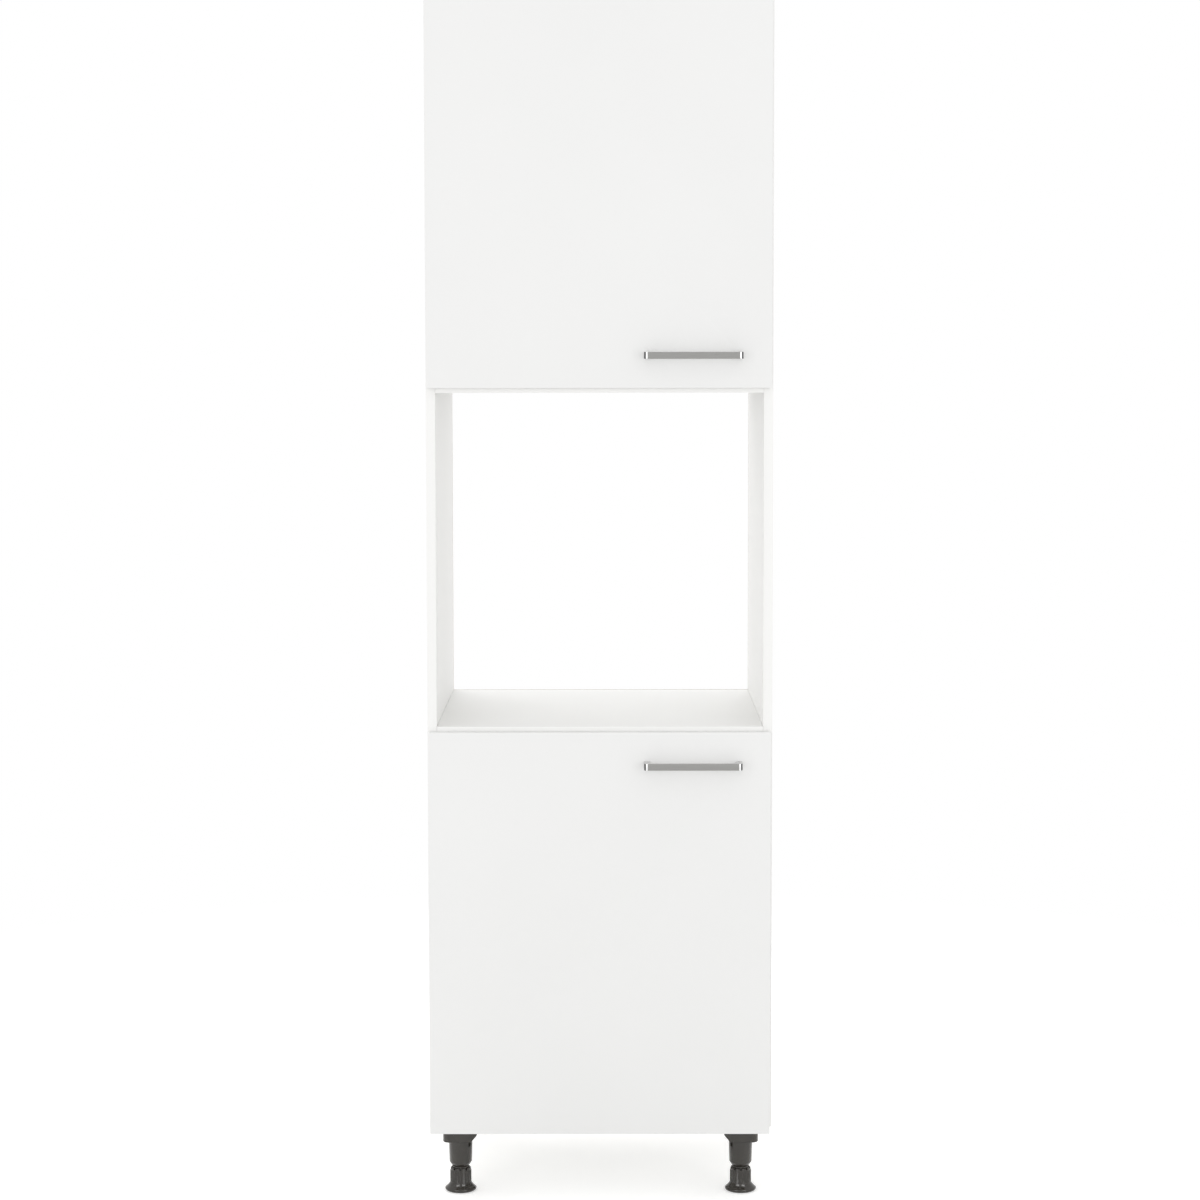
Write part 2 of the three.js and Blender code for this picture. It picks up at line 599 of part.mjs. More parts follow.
// A pressed channel over the plate's rail, raised into a knuckle round the outer link's barrel.
function hingeArm(z) {
  const back = BOARD + PLATE_RAIL_H + PLATE_RAIL_PLAY;
  const knuckle = ARM_OUTER_PIVOT[0] + OUTER_LINK_BARREL_R + BARREL_PLAY;
  const nose = knuckle - ARM_WALL / 2;
  const lip = ARM_INNER_PIVOT[0] - ARM_LIP;
  const outline = planShape([
    [back + ARM_WALL, -ARM_END], [back + ARM_WALL, -ARM_NECK], [knuckle + ARM_WALL, -ARM_SHOULDER],
    [knuckle + ARM_WALL, -ARM_PIVOTS_BEHIND - 1], [nose, -ARM_NOSE], [lip + ARM_WALL, -ARM_NOSE],
    [lip, 1 - ARM_PIVOTS_BEHIND], [lip, -ARM_PIVOTS_BEHIND - 2 * ARM_WALL],
    [BOARD + ARM_CHIN_OUT, -ARM_CHIN], [BOARD + ARM_FOOT_OUT, -ARM_END],
  ]);
  const channelShape = planShape([
    [back, -ARM_END - 1], [back, -ARM_NECK], [knuckle, -ARM_SHOULDER], [knuckle, 0],
    [0, 0], [0, -ARM_END - 1],
  ]);
  const inside = ARM_HALF - ARM_WALL;
  const channel = cut(
    raised(outline, [z - ARM_HALF, z + ARM_HALF]),
    raised(channelShape, [z - inside, z + inside]),
  );
  return join(
    channel,
    pivot(PIVOT_R, ARM_OUTER_PIVOT, [z - ARM_HALF, z + ARM_HALF]),
    pivot(PIVOT_R, ARM_INNER_PIVOT, [z - ARM_HALF, z + ARM_HALF]),
  );
}

function hingeCup(z) {
  const centre = plan([CUP_CENTRE_U, 0]);
  const bottomY = DOOR_BACK_Y - CUP_DEPTH;
  const rimY = DOOR_BACK_Y + CUP_PROUD;
  const flangeY = DOOR_BACK_Y + FLANGE_PROUD;
  const wall = rod(CUP_R, 'y', [centre[0], (bottomY + rimY) / 2, z], rimY - bottomY, CUP_FACETS);
  const wings = roundedRectangle(
    centre[0] + WING_OFFSET - WING_R, centre[0] + WING_OFFSET + WING_R,
    z - WING_HOLE_SPREAD / 2 - WING_R, z + WING_HOLE_SPREAD / 2 + WING_R, WING_CORNER_R,
  );
  const flangeT = FLANGE_PROUD - FLANGE_UNDER;
  const sheet = new THREE.ExtrudeGeometry(wings, { depth: flangeT, bevelEnabled: false, curveSegments: 3 });
  sheet.rotateX(Math.PI / 2);
  sheet.translate(0, flangeY, 0);
  const floorY = bottomY + CUP_FLOOR;
  const insideLength = flangeY + 1 - floorY;
  const insideAt = [centre[0], floorY + insideLength / 2, z];
  const inside = rod(CUP_R - CUP_WALL, 'y', insideAt, insideLength, CUP_FACETS);
  const screwHoles = [-1, 1].map((side) => (
    rod(
      WING_HOLE_R, 'y', [centre[0] + WING_OFFSET, flangeY, z + side * WING_HOLE_SPREAD / 2],
      4 * flangeT, HOLE_FACETS,
    )
  ));
  const shell = cut(join(wall, toManifold(sheet)), inside, ...screwHoles);
  const inner = INNER_LINK_HALF + PIN_CLEAR;
  const cupMiddle = [centre[0], (bottomY + rimY) / 2, z];
  const midWall = rod(CUP_R - CUP_WALL / 2, 'y', cupMiddle, CUP_DEPTH, CUP_FACETS);
  const stubs = [[z - CUP_R, z - inner], [z + inner, z + CUP_R]].map((span) => (
    pivot(PIVOT_R, CUP_OUTER_PIVOT, span).intersect(midWall)
  ));
  return join(shell, ...stubs);
}

function mountingPlate(z) {
  const face = BOARD + PLAY;
  const left = -HALF_W + face;
  const y = FRONT_Y + PLATE_LINE;
  const wing = new THREE.ExtrudeGeometry(
    roundedRectangle(
      y - PLATE_WING_D / 2, y + PLATE_WING_D / 2,
      z - PLATE_SCREWS / 2 - PLATE_WING_R, z + PLATE_SCREWS / 2 + PLATE_WING_R, PLATE_CORNER_R,
    ),
    { depth: PLATE_WING_T, bevelEnabled: false, curveSegments: 3 },
  );
  wing.rotateZ(Math.PI / 2);
  wing.rotateY(Math.PI / 2);
  wing.translate(left, 0, 0);
  const half = ARM_HALF - ARM_WALL - PLAY;
  const railTop = BOARD + PLATE_RAIL_H;
  const railEnd = 2 - ARM_END;
  const rail = raised(planShape([
    [face, railEnd], [railTop, railEnd], [railTop, -PLATE_RAIL_FRONT - PLATE_RAIL_SLOPE],
    [railTop - PLATE_RAIL_SLOPE, -PLATE_RAIL_FRONT], [face, -PLATE_RAIL_FRONT],
  ]), [z - half, z + half]);
  const holes = [-1, 1].map((side) => (
    rod(PLATE_HOLE_R, 'x', [left, y, z + side * PLATE_SCREWS / 2], 4 * PLATE_WING_T, HOLE_FACETS)
  ));
  return cut(join(toManifold(wing), rail), ...holes);
}

for (const each of DOORS) {
  for (const { end, z } of hingeHeights(each)) {
    const place = `${each.name}_${end}`;
    piece(`hinge_cup_${place}`, hingeCup(z), 'steel');
    piece(`hinge_outer_link_${place}`, outerLink(z), 'steel');
    piece(`hinge_inner_link_${place}`, innerLink(z), 'steel');
    piece(`hinge_arm_${place}`, hingeArm(z), 'steel');
    piece(`hinge_plate_${place}`, mountingPlate(z), 'steel');
  }
}

// ---------------------------------------------------------------- legs
const NECK_END = FOOT_H - NECK_IN_SLEEVE;
const CHAMFER_LOW = FOOT_H + NECK_GAP;
const CHAMFER_TOP = CHAMFER_LOW + TUBE_CHAMFER_H;
const HEAD_LOW = LEG_H - HEAD_H;
const STUD_TOP = HEAD_LOW + STUD_IN_HEAD;

function legSocket(side) {
  const top = LEG_H - PLAY;
  const tube = turned([
    [0, NECK_END], [NECK_R, NECK_END], [NECK_R, CHAMFER_LOW], [TUBE_LOW_R, CHAMFER_TOP],
    [TUBE_TOP_R, HEAD_LOW], [TUBE_TOP_R, LEG_H - FLANGE_T], [0, LEG_H - FLANGE_T],
  ]);
  const head = raised(
    roundedRectangle(-HEAD_W / 2, HEAD_W / 2, -HEAD_D / 2, HEAD_D / 2, HEAD_CORNER_R),
    [HEAD_LOW, top],
  );
  const middleSide = -side * HEAD_W / 2;
  const slopeShape = new THREE.Shape([
    new THREE.Vector2(middleSide, HEAD_LOW - 1),
    new THREE.Vector2(middleSide, HEAD_LOW + HEAD_SLOPE + 1),
    new THREE.Vector2(middleSide + side * (HEAD_SLOPE + 2), HEAD_LOW - 1),
  ]);
  const slope = new THREE.ExtrudeGeometry(slopeShape, { depth: HEAD_D + 2, bevelEnabled: false });
  slope.rotateX(Math.PI / 2);
  slope.translate(0, HEAD_D / 2 + 1, 0);
  const flange = raised(
    roundedRectangle(-HEAD_W / 2, HEAD_W / 2, -FLANGE_D / 2, FLANGE_D / 2, FLANGE_CORNER_R),
    [top - FLANGE_T, top],
  );
  const holes = [];
  for (const dx of [-1, 1]) {
    for (const dy of [-1, 1]) {
      const at = [dx * FLANGE_HOLE_PAIR / 2, dy * FLANGE_HOLE_SPREAD / 2, top];
      holes.push(rod(FLANGE_HOLE_R, 'z', at, 4 * FLANGE_T, HOLE_FACETS));
    }
  }
  const boreTop = STUD_TOP + PLAY;
  const boreLength = boreTop - NECK_END + 1;
  const bore = rod(STUD_R + STUD_PLAY, 'z', [0, 0, boreTop - boreLength / 2], boreLength);
  const turn = THREE.MathUtils.degToRad(CLIP_SLOT_ANGLE) * -side;
  const slot = new THREE.BoxGeometry(CLIP_SLOT_W, 2 * CLIP_SLOT_DEEP, CLIP_SLOT_H);
  slot.translate(0, -TUBE_TOP_R, HEAD_LOW - CLIP_SLOT_H);
  slot.rotateZ(turn);
  return cut(join(tube, cut(head, toManifold(slope)), flange), bore, toManifold(slot), ...holes);
}

function legFoot() {
  const body = turned([
    [0, 0], [FOOT_REST_R, 0], [FOOT_PAD_R - FOOT_TOE_IN, FOOT_TOE_H], [FOOT_PAD_R, FOOT_RIM_LOW],
    [FOOT_PAD_R - FOOT_RIM_IN, FOOT_RIM_H],
    [FOOT_FLARE_R, FOOT_FLARE_LOW], [FOOT_WAIST_R, FOOT_WAIST_H], [SLEEVE_R, FOOT_FLARE_H],
    [SLEEVE_R, FOOT_H - SLEEVE_CHAMFER], [SLEEVE_R - SLEEVE_CHAMFER, FOOT_H], [SLEEVE_BORE_R, FOOT_H],
    [SLEEVE_BORE_R, SLEEVE_FLOOR], [STUD_R, SLEEVE_FLOOR], [STUD_R, STUD_TOP], [0, STUD_TOP],
  ]);
  const ribs = new THREE.Shape();
  const points = 4 * SLEEVE_RIBS;
  for (let i = 0; i < points; i += 1) {
    const out = i % 4 < 2 ? SLEEVE_RIB : -SLEEVE_CHAMFER / 2;
    const angle = (2 * Math.PI * (i + 0.5)) / points;
    const at = [(SLEEVE_R + out) * Math.cos(angle), (SLEEVE_R + out) * Math.sin(angle)];
    if (i === 0) ribs.moveTo(...at);
    else ribs.lineTo(...at);
  }
  const ring = cut(
    raised(ribs, [SLEEVE_RIBS_LOW, FOOT_H - SLEEVE_CHAMFER - TOOTH_DEEP]),
    rod((SLEEVE_R + SLEEVE_BORE_R) / 2, 'z', [0, 0, FOOT_H / 2], FOOT_H),
  );
  const gaps = [];
  for (let i = 0; i < TEETH; i += 1) {
    const gap = new THREE.BoxGeometry(SLEEVE_R - SLEEVE_BORE_R + 4, TOOTH_GAP, 2 * TOOTH_DEEP);
    gap.translate((SLEEVE_R + SLEEVE_BORE_R) / 2, 0, FOOT_H);
    gap.rotateZ((2 * Math.PI * (i + 0.5)) / TEETH);
    gaps.push(toManifold(gap));
  }
  return cut(join(body, ring), ...gaps);
}

const LEG_PLACES = [
  { row: 'front', y: FRONT_Y + LEG_FROM_FRONT },
  { row: 'rear', y: REAR_Y - LEG_FROM_REAR },
];

for (const { row, y } of LEG_PLACES) {
  for (const side of [-1, 1]) {
    const x = side * (HALF_W - LEG_FROM_SIDE);
    const place = `${row}_${side < 0 ? 'left' : 'right'}`;
    piece(`leg_socket_${place}`, move(legSocket(side), x, y, 0), 'plastic');
    piece(`leg_foot_${place}`, move(legFoot(), x, y, 0), 'plastic');
  }
}

export default unit;
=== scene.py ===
"""Looks for the tall oven housing unit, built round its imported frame.

Shapes are made in millimetres and turned into metres as each piece is finished.
+X right, +Z up, the doors face -Y, the origin is on the floor under the middle.
"""

import logging
import math
from collections.abc import Callable
from dataclasses import dataclass
from enum import Enum, StrEnum
from typing import ClassVar

import bmesh
import bpy
from mathutils import Matrix, Vector


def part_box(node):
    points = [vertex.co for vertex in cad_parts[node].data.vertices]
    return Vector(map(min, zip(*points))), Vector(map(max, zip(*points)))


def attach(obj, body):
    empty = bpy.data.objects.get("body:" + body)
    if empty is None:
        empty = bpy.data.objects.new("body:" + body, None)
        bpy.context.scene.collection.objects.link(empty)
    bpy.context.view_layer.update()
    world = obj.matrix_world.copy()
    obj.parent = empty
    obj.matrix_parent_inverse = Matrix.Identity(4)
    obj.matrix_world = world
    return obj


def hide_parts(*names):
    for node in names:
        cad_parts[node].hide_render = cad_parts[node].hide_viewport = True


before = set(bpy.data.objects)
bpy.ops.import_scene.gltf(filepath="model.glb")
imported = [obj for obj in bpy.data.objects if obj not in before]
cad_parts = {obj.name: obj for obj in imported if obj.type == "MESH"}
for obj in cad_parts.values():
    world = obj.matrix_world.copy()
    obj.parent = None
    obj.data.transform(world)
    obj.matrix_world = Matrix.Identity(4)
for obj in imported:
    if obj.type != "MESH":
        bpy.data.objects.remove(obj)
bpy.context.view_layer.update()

LOG = logging.getLogger("oven_housing")
MM = 0.001

Point = tuple[float, float, float]
Place = tuple[float, float]
Colour = tuple[float, float, float]
Span = tuple[float, float]
Seat = tuple[Point, Point]
Socket = bpy.types.NodeSocket

FRONTWARD: Point = (0, -1, 0)
REARWARD: Point = (0, 1, 0)
LEFTWARD: Point = (-1, 0, 0)
RIGHTWARD: Point = (1, 0, 0)
UPWARD: Point = (0, 0, 1)
DOWNWARD: Point = (0, 0, -1)


class Axis(Enum):
    """The line a round or raised shape stands on, as a turn of the +Z axis onto it."""

    X = Matrix.Rotation(math.pi / 2, 4, "Y")
    Y = Matrix.Rotation(-math.pi / 2, 4, "X")
    Z = Matrix.Identity(4)


class Side(Enum):
    """The left or right of the unit, seen from the front."""

    LEFT = -1
    RIGHT = 1

    @property
    def word(self) -> str:
        """The side's name, as the CAD nodes have it."""
        return self.name.lower()


class Level(StrEnum):
    """The compartment that a piece belongs to, and so its door."""

    UPPER = "upper"
    LOWER = "lower"


class Row(StrEnum):
    """The front or the rear row of pins and legs."""

    FRONT = "front"
    REAR = "rear"


class End(StrEnum):
    """The bottom or the top end of a door."""

    BOTTOM = "bottom"
    TOP = "top"


class Slot(StrEnum):
    """The material slots."""

    CARCASS = "carcass_board"
    BACK = "back_board"
    DOOR = "door_board"
    HANDLE = "handle_metal"
    HINGE = "hinge_steel"
    FITTING = "fitting_steel"
    LEG = "leg_plastic"
    BUMPER = "bumper_plastic"


# ---------------------------------------------------------------- shader node groups
class NodeTree:
    """Adds nodes to a node tree and sets or links their inputs by name."""

    def __init__(self, tree: bpy.types.NodeTree) -> None:
        """Takes over a tree and empties it.

        Args:
            tree: the shader or geometry tree to fill.
        """
        self.tree = tree
        self.tree.nodes.clear()

    def socket(self, name: str, kind: str, output: bool = False, value: object = None) -> None:
        """Adds a named input or output to the tree's interface.

        Args:
            name: the socket's name.
            kind: the end of its type's name, such as Float or Color.
            output: True for an output.
            value: the default value of an input.
        """
        item = self.tree.interface.new_socket(
            name=name, in_out="OUTPUT" if output else "INPUT", socket_type=f"NodeSocket{kind}"
        )
        if value is not None:
            item.default_value = value

    def add(self, kind: str, inputs: dict | None = None, **settings: object) -> bpy.types.Node:
        """Adds one node.

        Args:
            kind: the node's type name.
            inputs: values or output sockets for its inputs, by name or number.
            settings: the node's own properties.

        Returns:
            The new node.
        """
        node = self.tree.nodes.new(kind)
        for name, value in settings.items():
            setattr(node, name, value)
        for name, value in (inputs or {}).items():
            if isinstance(value, Socket):
                self.tree.links.new(value, node.inputs[name])
            else:
                node.inputs[name].default_value = value
        return node

    def maths(self, operation: str, first: object, second: object = 0.0) -> Socket:
        """Adds a Math node and returns its result."""
        node = self.add("ShaderNodeMath", {0: first, 1: second}, operation=operation)
        return node.outputs[0]

    def ramp(self, value: Socket, low: float, high: float) -> Socket:
        """Stretches a value so that low becomes 0 and high becomes 1, and returns it."""
        ends = {"Value": value, "From Min": low, "From Max": high}
        return self.add("ShaderNodeMapRange", ends).outputs["Result"]

    def tint(self, factor: object, low: object, high: object) -> Socket:
        """Mixes two colours by a factor and returns the result."""
        node = self.add("ShaderNodeMix", {"Factor": factor, 6: low, 7: high}, data_type="RGBA")
        return node.outputs[2]


class Effect:
    """The surface effects that several finishes share, each one a shader node group."""

    _made: ClassVar[dict[str, bpy.types.NodeTree]] = {}

    @classmethod
    def get(cls, build: Callable[[NodeTree], None]) -> bpy.types.NodeTree:
        """Returns an effect's node group, built at its first use.

        Args:
            build: the method of this class that fills the group, and names it.

        Returns:
            The shader node group.
        """
        name = build.__name__
        if name not in cls._made:
            tree = NodeTree(bpy.data.node_groups.new(name, "ShaderNodeTree"))
            build(tree)
            cls._made[name] = tree.tree
        return cls._made[name]

    @staticmethod
    def emboss(tree: NodeTree) -> None:
        """A fine pressed pearl grain: melamine faces and moulded plastic.

        Args:
            tree: the empty tree to fill.
        """
        tree.socket("Vector", "Vector")
        tree.socket("Grain Size", "Float", value=0.0008)
        tree.socket("Height", "Float", output=True)
        given = tree.add("NodeGroupInput")
        scale = tree.maths("DIVIDE", 1.0, given.outputs["Grain Size"])
        grain = tree.add("ShaderNodeTexNoise", {
            "Vector": given.outputs["Vector"], "Scale": scale, "Detail": 2.0, "Distortion": 0.4,
        })
        tree.add("NodeGroupOutput", {"Height": grain.outputs["Fac"]})

    @staticmethod
    def cloudiness(tree: NodeTree) -> None:
        """Slow, faint variation over a surface, as from wiping, handling and dust.

        Args:
            tree: the empty tree to fill.
        """
        tree.socket("Vector", "Vector")
        tree.socket("Patch Size", "Float", value=0.2)
        tree.socket("Amount", "Float", output=True)
        given = tree.add("NodeGroupInput")
        scale = tree.maths("DIVIDE", 1.0, given.outputs["Patch Size"])
        noise = tree.add("ShaderNodeTexNoise", {
            "Vector": given.outputs["Vector"], "Scale": scale, "Detail": 2.0, "Roughness": 0.6,
        })
        tree.add("NodeGroupOutput", {"Amount": tree.ramp(noise.outputs["Fac"], 0.3, 0.7)})

    @staticmethod
    def brushing(tree: NodeTree) -> None:
        """Fine scratches along X, as brushing and rolling leave on steel.

        Args:
            tree: the empty tree to fill.
        """
        tree.socket("Vector", "Vector")
        tree.socket("Line Width", "Float", value=0.0003)
        tree.socket("Line Length", "Float", value=0.02)
        tree.socket("Height", "Float", output=True)
        given = tree.add("NodeGroupInput")
        along = tree.maths("DIVIDE", 1.0, given.outputs["Line Length"])
        across = tree.maths("DIVIDE", 1.0, given.outputs["Line Width"])
        stretch = tree.add("ShaderNodeCombineXYZ", {"X": along, "Y": across, "Z": across})
        factors = {0: given.outputs["Vector"], 1: stretch.outputs["Vector"]}
        place = tree.add("ShaderNodeVectorMath", factors, operation="MULTIPLY")
        lines = tree.add("ShaderNodeTexNoise", {
            "Vector": place.outputs["Vector"], "Scale": 1.0, "Detail": 3.0,
        })
        tree.add("NodeGroupOutput", {"Height": lines.outputs["Fac"]})

    @staticmethod
    def chips(tree: NodeTree) -> None:
        """The sawn core of particle board or fibreboard, with its chips or fibres.

        Args:
            tree: the empty tree to fill.
        """
        tree.socket("Vector", "Vector")
        tree.socket("Chip Size", "Float", value=0.003)
        tree.socket("Light", "Color", value=(0.6, 0.45, 0.3, 1.0))
        tree.socket("Dark", "Color", value=(0.3, 0.2, 0.1, 1.0))
        tree.socket("Color", "Color", output=True)
        tree.socket("Height", "Float", output=True)
        given = tree.add("NodeGroupInput")
        scale = tree.maths("DIVIDE", 1.0, given.outputs["Chip Size"])
        where = given.outputs["Vector"]
        cells = tree.add("ShaderNodeTexVoronoi", {"Vector": where, "Scale": scale})
        fibres = tree.add("ShaderNodeTexNoise", {
            "Vector": where, "Scale": scale, "Detail": 4.0, "Roughness": 0.7,
        })
        shade = tree.add("ShaderNodeSeparateColor", {"Color": cells.outputs["Color"]})
        mixed = tree.maths("ADD", shade.outputs["Red"], fibres.outputs["Fac"])
        dark, light = given.outputs["Dark"], given.outputs["Light"]
        blend = tree.tint(tree.ramp(mixed, 0.3, 1.5), dark, light)
        tree.add("NodeGroupOutput", {"Color": blend, "Height": mixed})


# ---------------------------------------------------------------- finishes
class Finish:
    """What the finishes share: a material is made once and kept."""

    _kept: ClassVar[dict[str, bpy.types.Material]] = {}
    name: str
    slot: Slot

    def material(self) -> bpy.types.Material:
        """Gives this finish's material, made at its first use.

        Returns:
            The material.
        """
        if self.name not in Finish._kept:
            material = bpy.data.materials.new(self.name)
            material.use_nodes = True
            self.fill(NodeTree(material.node_tree))
            Finish._kept[self.name] = material
        return Finish._kept[self.name]

    def fill(self, tree: NodeTree) -> None:
        """Fills the material's tree. Each kind of finish has its own."""
        raise NotImplementedError

    @staticmethod
    def where(tree: NodeTree) -> Socket:
        """Returns the surface's own Object coordinates."""
        return tree.add("ShaderNodeTexCoord").outputs["Object"]

    @staticmethod
    def effect(tree: NodeTree, build: Callable[[NodeTree], None], inputs: dict) -> bpy.types.Node:
        """Places one of the shared effects with its inputs, and returns its node."""
        return tree.add("ShaderNodeGroup", inputs, node_tree=Effect.get(build))

    @staticmethod
    def surface(tree: NodeTree, relief: tuple[Socket, float, float], inputs: dict) -> None:
        """Ends a material with its bump, its Principled shader and its output.

        Args:
            tree: the material's tree.
            relief: the bump's height, its depth in metres and its strength.
            inputs: the shader's inputs besides Normal.
        """
        height, depth, strength = relief
        bump = tree.add("ShaderNodeBump", {
            "Height": height, "Distance": depth, "Strength": strength,
        })
        shader = tree.add("ShaderNodeBsdfPrincipled", {**inputs, "Normal": bump.outputs["Normal"]})
        tree.add("ShaderNodeOutputMaterial", {"Surface": shader.outputs["BSDF"]})


def shade(colour: Colour, by: float = 1.0) -> tuple[float, float, float, float]:
    """Returns a colour made lighter or darker by a factor, with its alpha."""
    return (colour[0] * by, colour[1] * by, colour[2] * by, 1.0)


@dataclass(frozen=True)
class CoreFinish(Finish):
    """The bare sawn core of a board."""

    name: str
    slot: Slot
    light: Colour
    dark: Colour
    chip_size: float
    roughness: float = 0.85
    relief: float = 0.0002
    bump: float = 0.6

    def fill(self, tree: NodeTree) -> None:
        """Fills the tree with the core's chips or fibres.

        Args:
            tree: the material's tree.
        """
        chips = self.effect(tree, Effect.chips, {
            "Vector": self.where(tree), "Chip Size": self.chip_size,
            "Light": shade(self.light), "Dark": shade(self.dark),
        })
        self.surface(tree, (chips.outputs["Height"], self.relief, self.bump), {
            "Base Color": chips.outputs["Color"], "Roughness": self.roughness,
        })


@dataclass(frozen=True)
class BoardFinish(Finish):
    """The coated faces and banded edges of a board."""

    name: str
    slot: Slot
    face: Colour
    core: CoreFinish
    roughness: float = 0.42
    grain_size: float = 0.0009
    grain_depth: float = 0.00004
    band_tone: float = 1.06
    bump: float = 0.6
    cloud_size: float = 0.35
    cloud_tone: float = 0.985
    wiping: float = 0.08

    def fill(self, tree: NodeTree) -> None:
        """Fills the tree with the coated face, brighter where the band attribute is 1.

        Args:
            tree: the material's tree.
        """
        where = self.where(tree)
        band = tree.add("ShaderNodeAttribute", attribute_name="band").outputs["Fac"]
        patches = {"Vector": where, "Patch Size": self.cloud_size}
        clouds = self.effect(tree, Effect.cloudiness, patches).outputs[0]
        grain = self.effect(tree, Effect.emboss, {"Vector": where, "Grain Size": self.grain_size})
        faced = tree.tint(clouds, shade(self.face, self.cloud_tone), shade(self.face))
        wiped = tree.maths("MULTIPLY", clouds, self.wiping)
        self.surface(tree, (grain.outputs["Height"], self.grain_depth, self.bump), {
            "Base Color": tree.tint(band, faced, shade(self.face, self.band_tone)),
            "Roughness": tree.maths("ADD", wiped, self.roughness),
        })


@dataclass(frozen=True)
class MetalFinish(Finish):
    """Steel, plated or brushed along X, with painted highlights and painted dark reflections where
    faces are marked.
    """

    name: str
    slot: Slot
    base: Colour
    roughness: float
    line_width: float
    line_length: float
    line_depth: float = 0.00002
    anisotropy: float = 0.0
    # colours of the painted highlight and the painted dark reflection
    bright: Colour = (0.9, 0.9, 0.9)
    dull: Colour = (0.1, 0.1, 0.1)
    contrast: float = 0.09
    bump: float = 0.5
    cloud_size: float = 0.03
    smearing: float = 0.06
    scratching: float = 0.12

    def fill(self, tree: NodeTree) -> None:
        """Fills the tree with the brushed metal and its painted highlights and painted dark
        reflections.

        Args:
            tree: the material's tree.
        """
        where = self.where(tree)
        lines = self.effect(tree, Effect.brushing, {
            "Vector": where, "Line Width": self.line_width, "Line Length": self.line_length,
        }).outputs["Height"]
        patches = {"Vector": where, "Patch Size": self.cloud_size}
        clouds = self.effect(tree, Effect.cloudiness, patches).outputs[0]
        tone = tree.ramp(lines, 0.3, 0.7)
        low, high = 1 - self.contrast, 1 + self.contrast
        brushed = tree.tint(tone, shade(self.base, low), shade(self.base, high))
        # painted highlight and painted dark reflection: face attributes push the base colour to a
        # light or a dark tone
        polish = tree.add("ShaderNodeAttribute", attribute_name="polished").outputs["Fac"]
        shadow = tree.add("ShaderNodeAttribute", attribute_name="dulled").outputs["Fac"]
        highlighted = tree.tint(polish, brushed, shade(self.bright))
        smears = tree.maths("MULTIPLY", clouds, self.smearing)
        worn = tree.maths("ADD", smears, tree.maths("MULTIPLY", tone, self.scratching))
        self.surface(tree, (lines, self.line_depth, self.bump), {
            "Base Color": tree.tint(shadow, highlighted, shade(self.dull)),
            "Roughness": tree.maths("ADD", worn, self.roughness),
            "Metallic": 1.0, "Anisotropic": self.anisotropy,
        })


@dataclass(frozen=True)
class PlasticFinish(Finish):
    """Moulded plastic with a fine spark-eroded grain and light scuffs."""

    name: str
    slot: Slot
    base: Colour
    roughness: float
    grain_size: float = 0.0006
    grain_depth: float = 0.00002
    scuff: float = 1.15
    gloss: float = 0.5
    bump: float = 0.5
    cloud_size: float = 0.012
    scuffs_from: float = 0.55
    scuffs_to: float = 1.1
    dulling: float = 0.14

    def fill(self, tree: NodeTree) -> None:
        """Fills the tree with the moulded plastic.

        Args:
            tree: the material's tree.
        """
        where = self.where(tree)
        grain = self.effect(tree, Effect.emboss, {"Vector": where, "Grain Size": self.grain_size})
        patches = {"Vector": where, "Patch Size": self.cloud_size}
        clouds = self.effect(tree, Effect.cloudiness, patches).outputs[0]
        scuffs = tree.ramp(clouds, self.scuffs_from, self.scuffs_to)
        dulled = tree.maths("MULTIPLY", scuffs, self.dulling)
        self.surface(tree, (grain.outputs["Height"], self.grain_depth, self.bump), {
            "Base Color": tree.tint(scuffs, shade(self.base), shade(self.base, self.scuff)),
            "Roughness": tree.maths("ADD", dulled, self.roughness),
            "Specular IOR Level": self.gloss,
        })


WHITE_FACE: Colour = (0.885, 0.883, 0.870)
DOOR_FACE: Colour = (0.888, 0.888, 0.881)
LACQUER: Colour = (0.84, 0.83, 0.80)
CHIP: Colour = (0.60, 0.45, 0.29)
CHIP_SHADOW: Colour = (0.30, 0.20, 0.11)
FIBRE: Colour = (0.36, 0.25, 0.15)
FIBRE_SHADOW: Colour = (0.22, 0.14, 0.08)

CHIP_CORE = CoreFinish("chipboard_core", Slot.CARCASS, CHIP, CHIP_SHADOW, chip_size=0.003)
DOOR_CORE = CoreFinish("door_core", Slot.DOOR, CHIP, CHIP_SHADOW, chip_size=0.003)
FIBRE_CORE = CoreFinish("fibreboard_rear", Slot.BACK, FIBRE, FIBRE_SHADOW, chip_size=0.0012)

CARCASS_FINISH = BoardFinish("melamine_board", Slot.CARCASS, WHITE_FACE, CHIP_CORE)
DOOR_FINISH = BoardFinish(
    "coated_door_board", Slot.DOOR, DOOR_FACE, DOOR_CORE,
    roughness=0.36, grain_depth=0.00002, band_tone=1.01,
)
BACK_FINISH = BoardFinish("lacquered_fibreboard", Slot.BACK, LACQUER, FIBRE_CORE, roughness=0.55)
HANDLE_FINISH = MetalFinish(
    "brushed_handle_steel", Slot.HANDLE, (0.318, 0.315, 0.306), roughness=0.26,
    line_width=0.00025, line_length=0.03, anisotropy=0.5,
)
HINGE_FINISH = MetalFinish(
    "nickel_plated_steel", Slot.HINGE, (0.64, 0.63, 0.61), roughness=0.17,
    line_width=0.0006, line_length=0.003, line_depth=0.000004, contrast=0.03,
)
FITTING_FINISH = MetalFinish(
    "zinc_plated_steel", Slot.FITTING, (0.56, 0.57, 0.58), roughness=0.28,
    line_width=0.0012, line_length=0.004, line_depth=0.00001, contrast=0.05,
)
LEG_FINISH = PlasticFinish(
    "moulded_leg_plastic", Slot.LEG, (0.032, 0.028, 0.0225), roughness=0.11, gloss=0.55
)
BUMPER_FINISH = PlasticFinish(
    "soft_bumper_plastic", Slot.BUMPER, (0.80, 0.80, 0.78), roughness=0.5, scuff=0.97
)


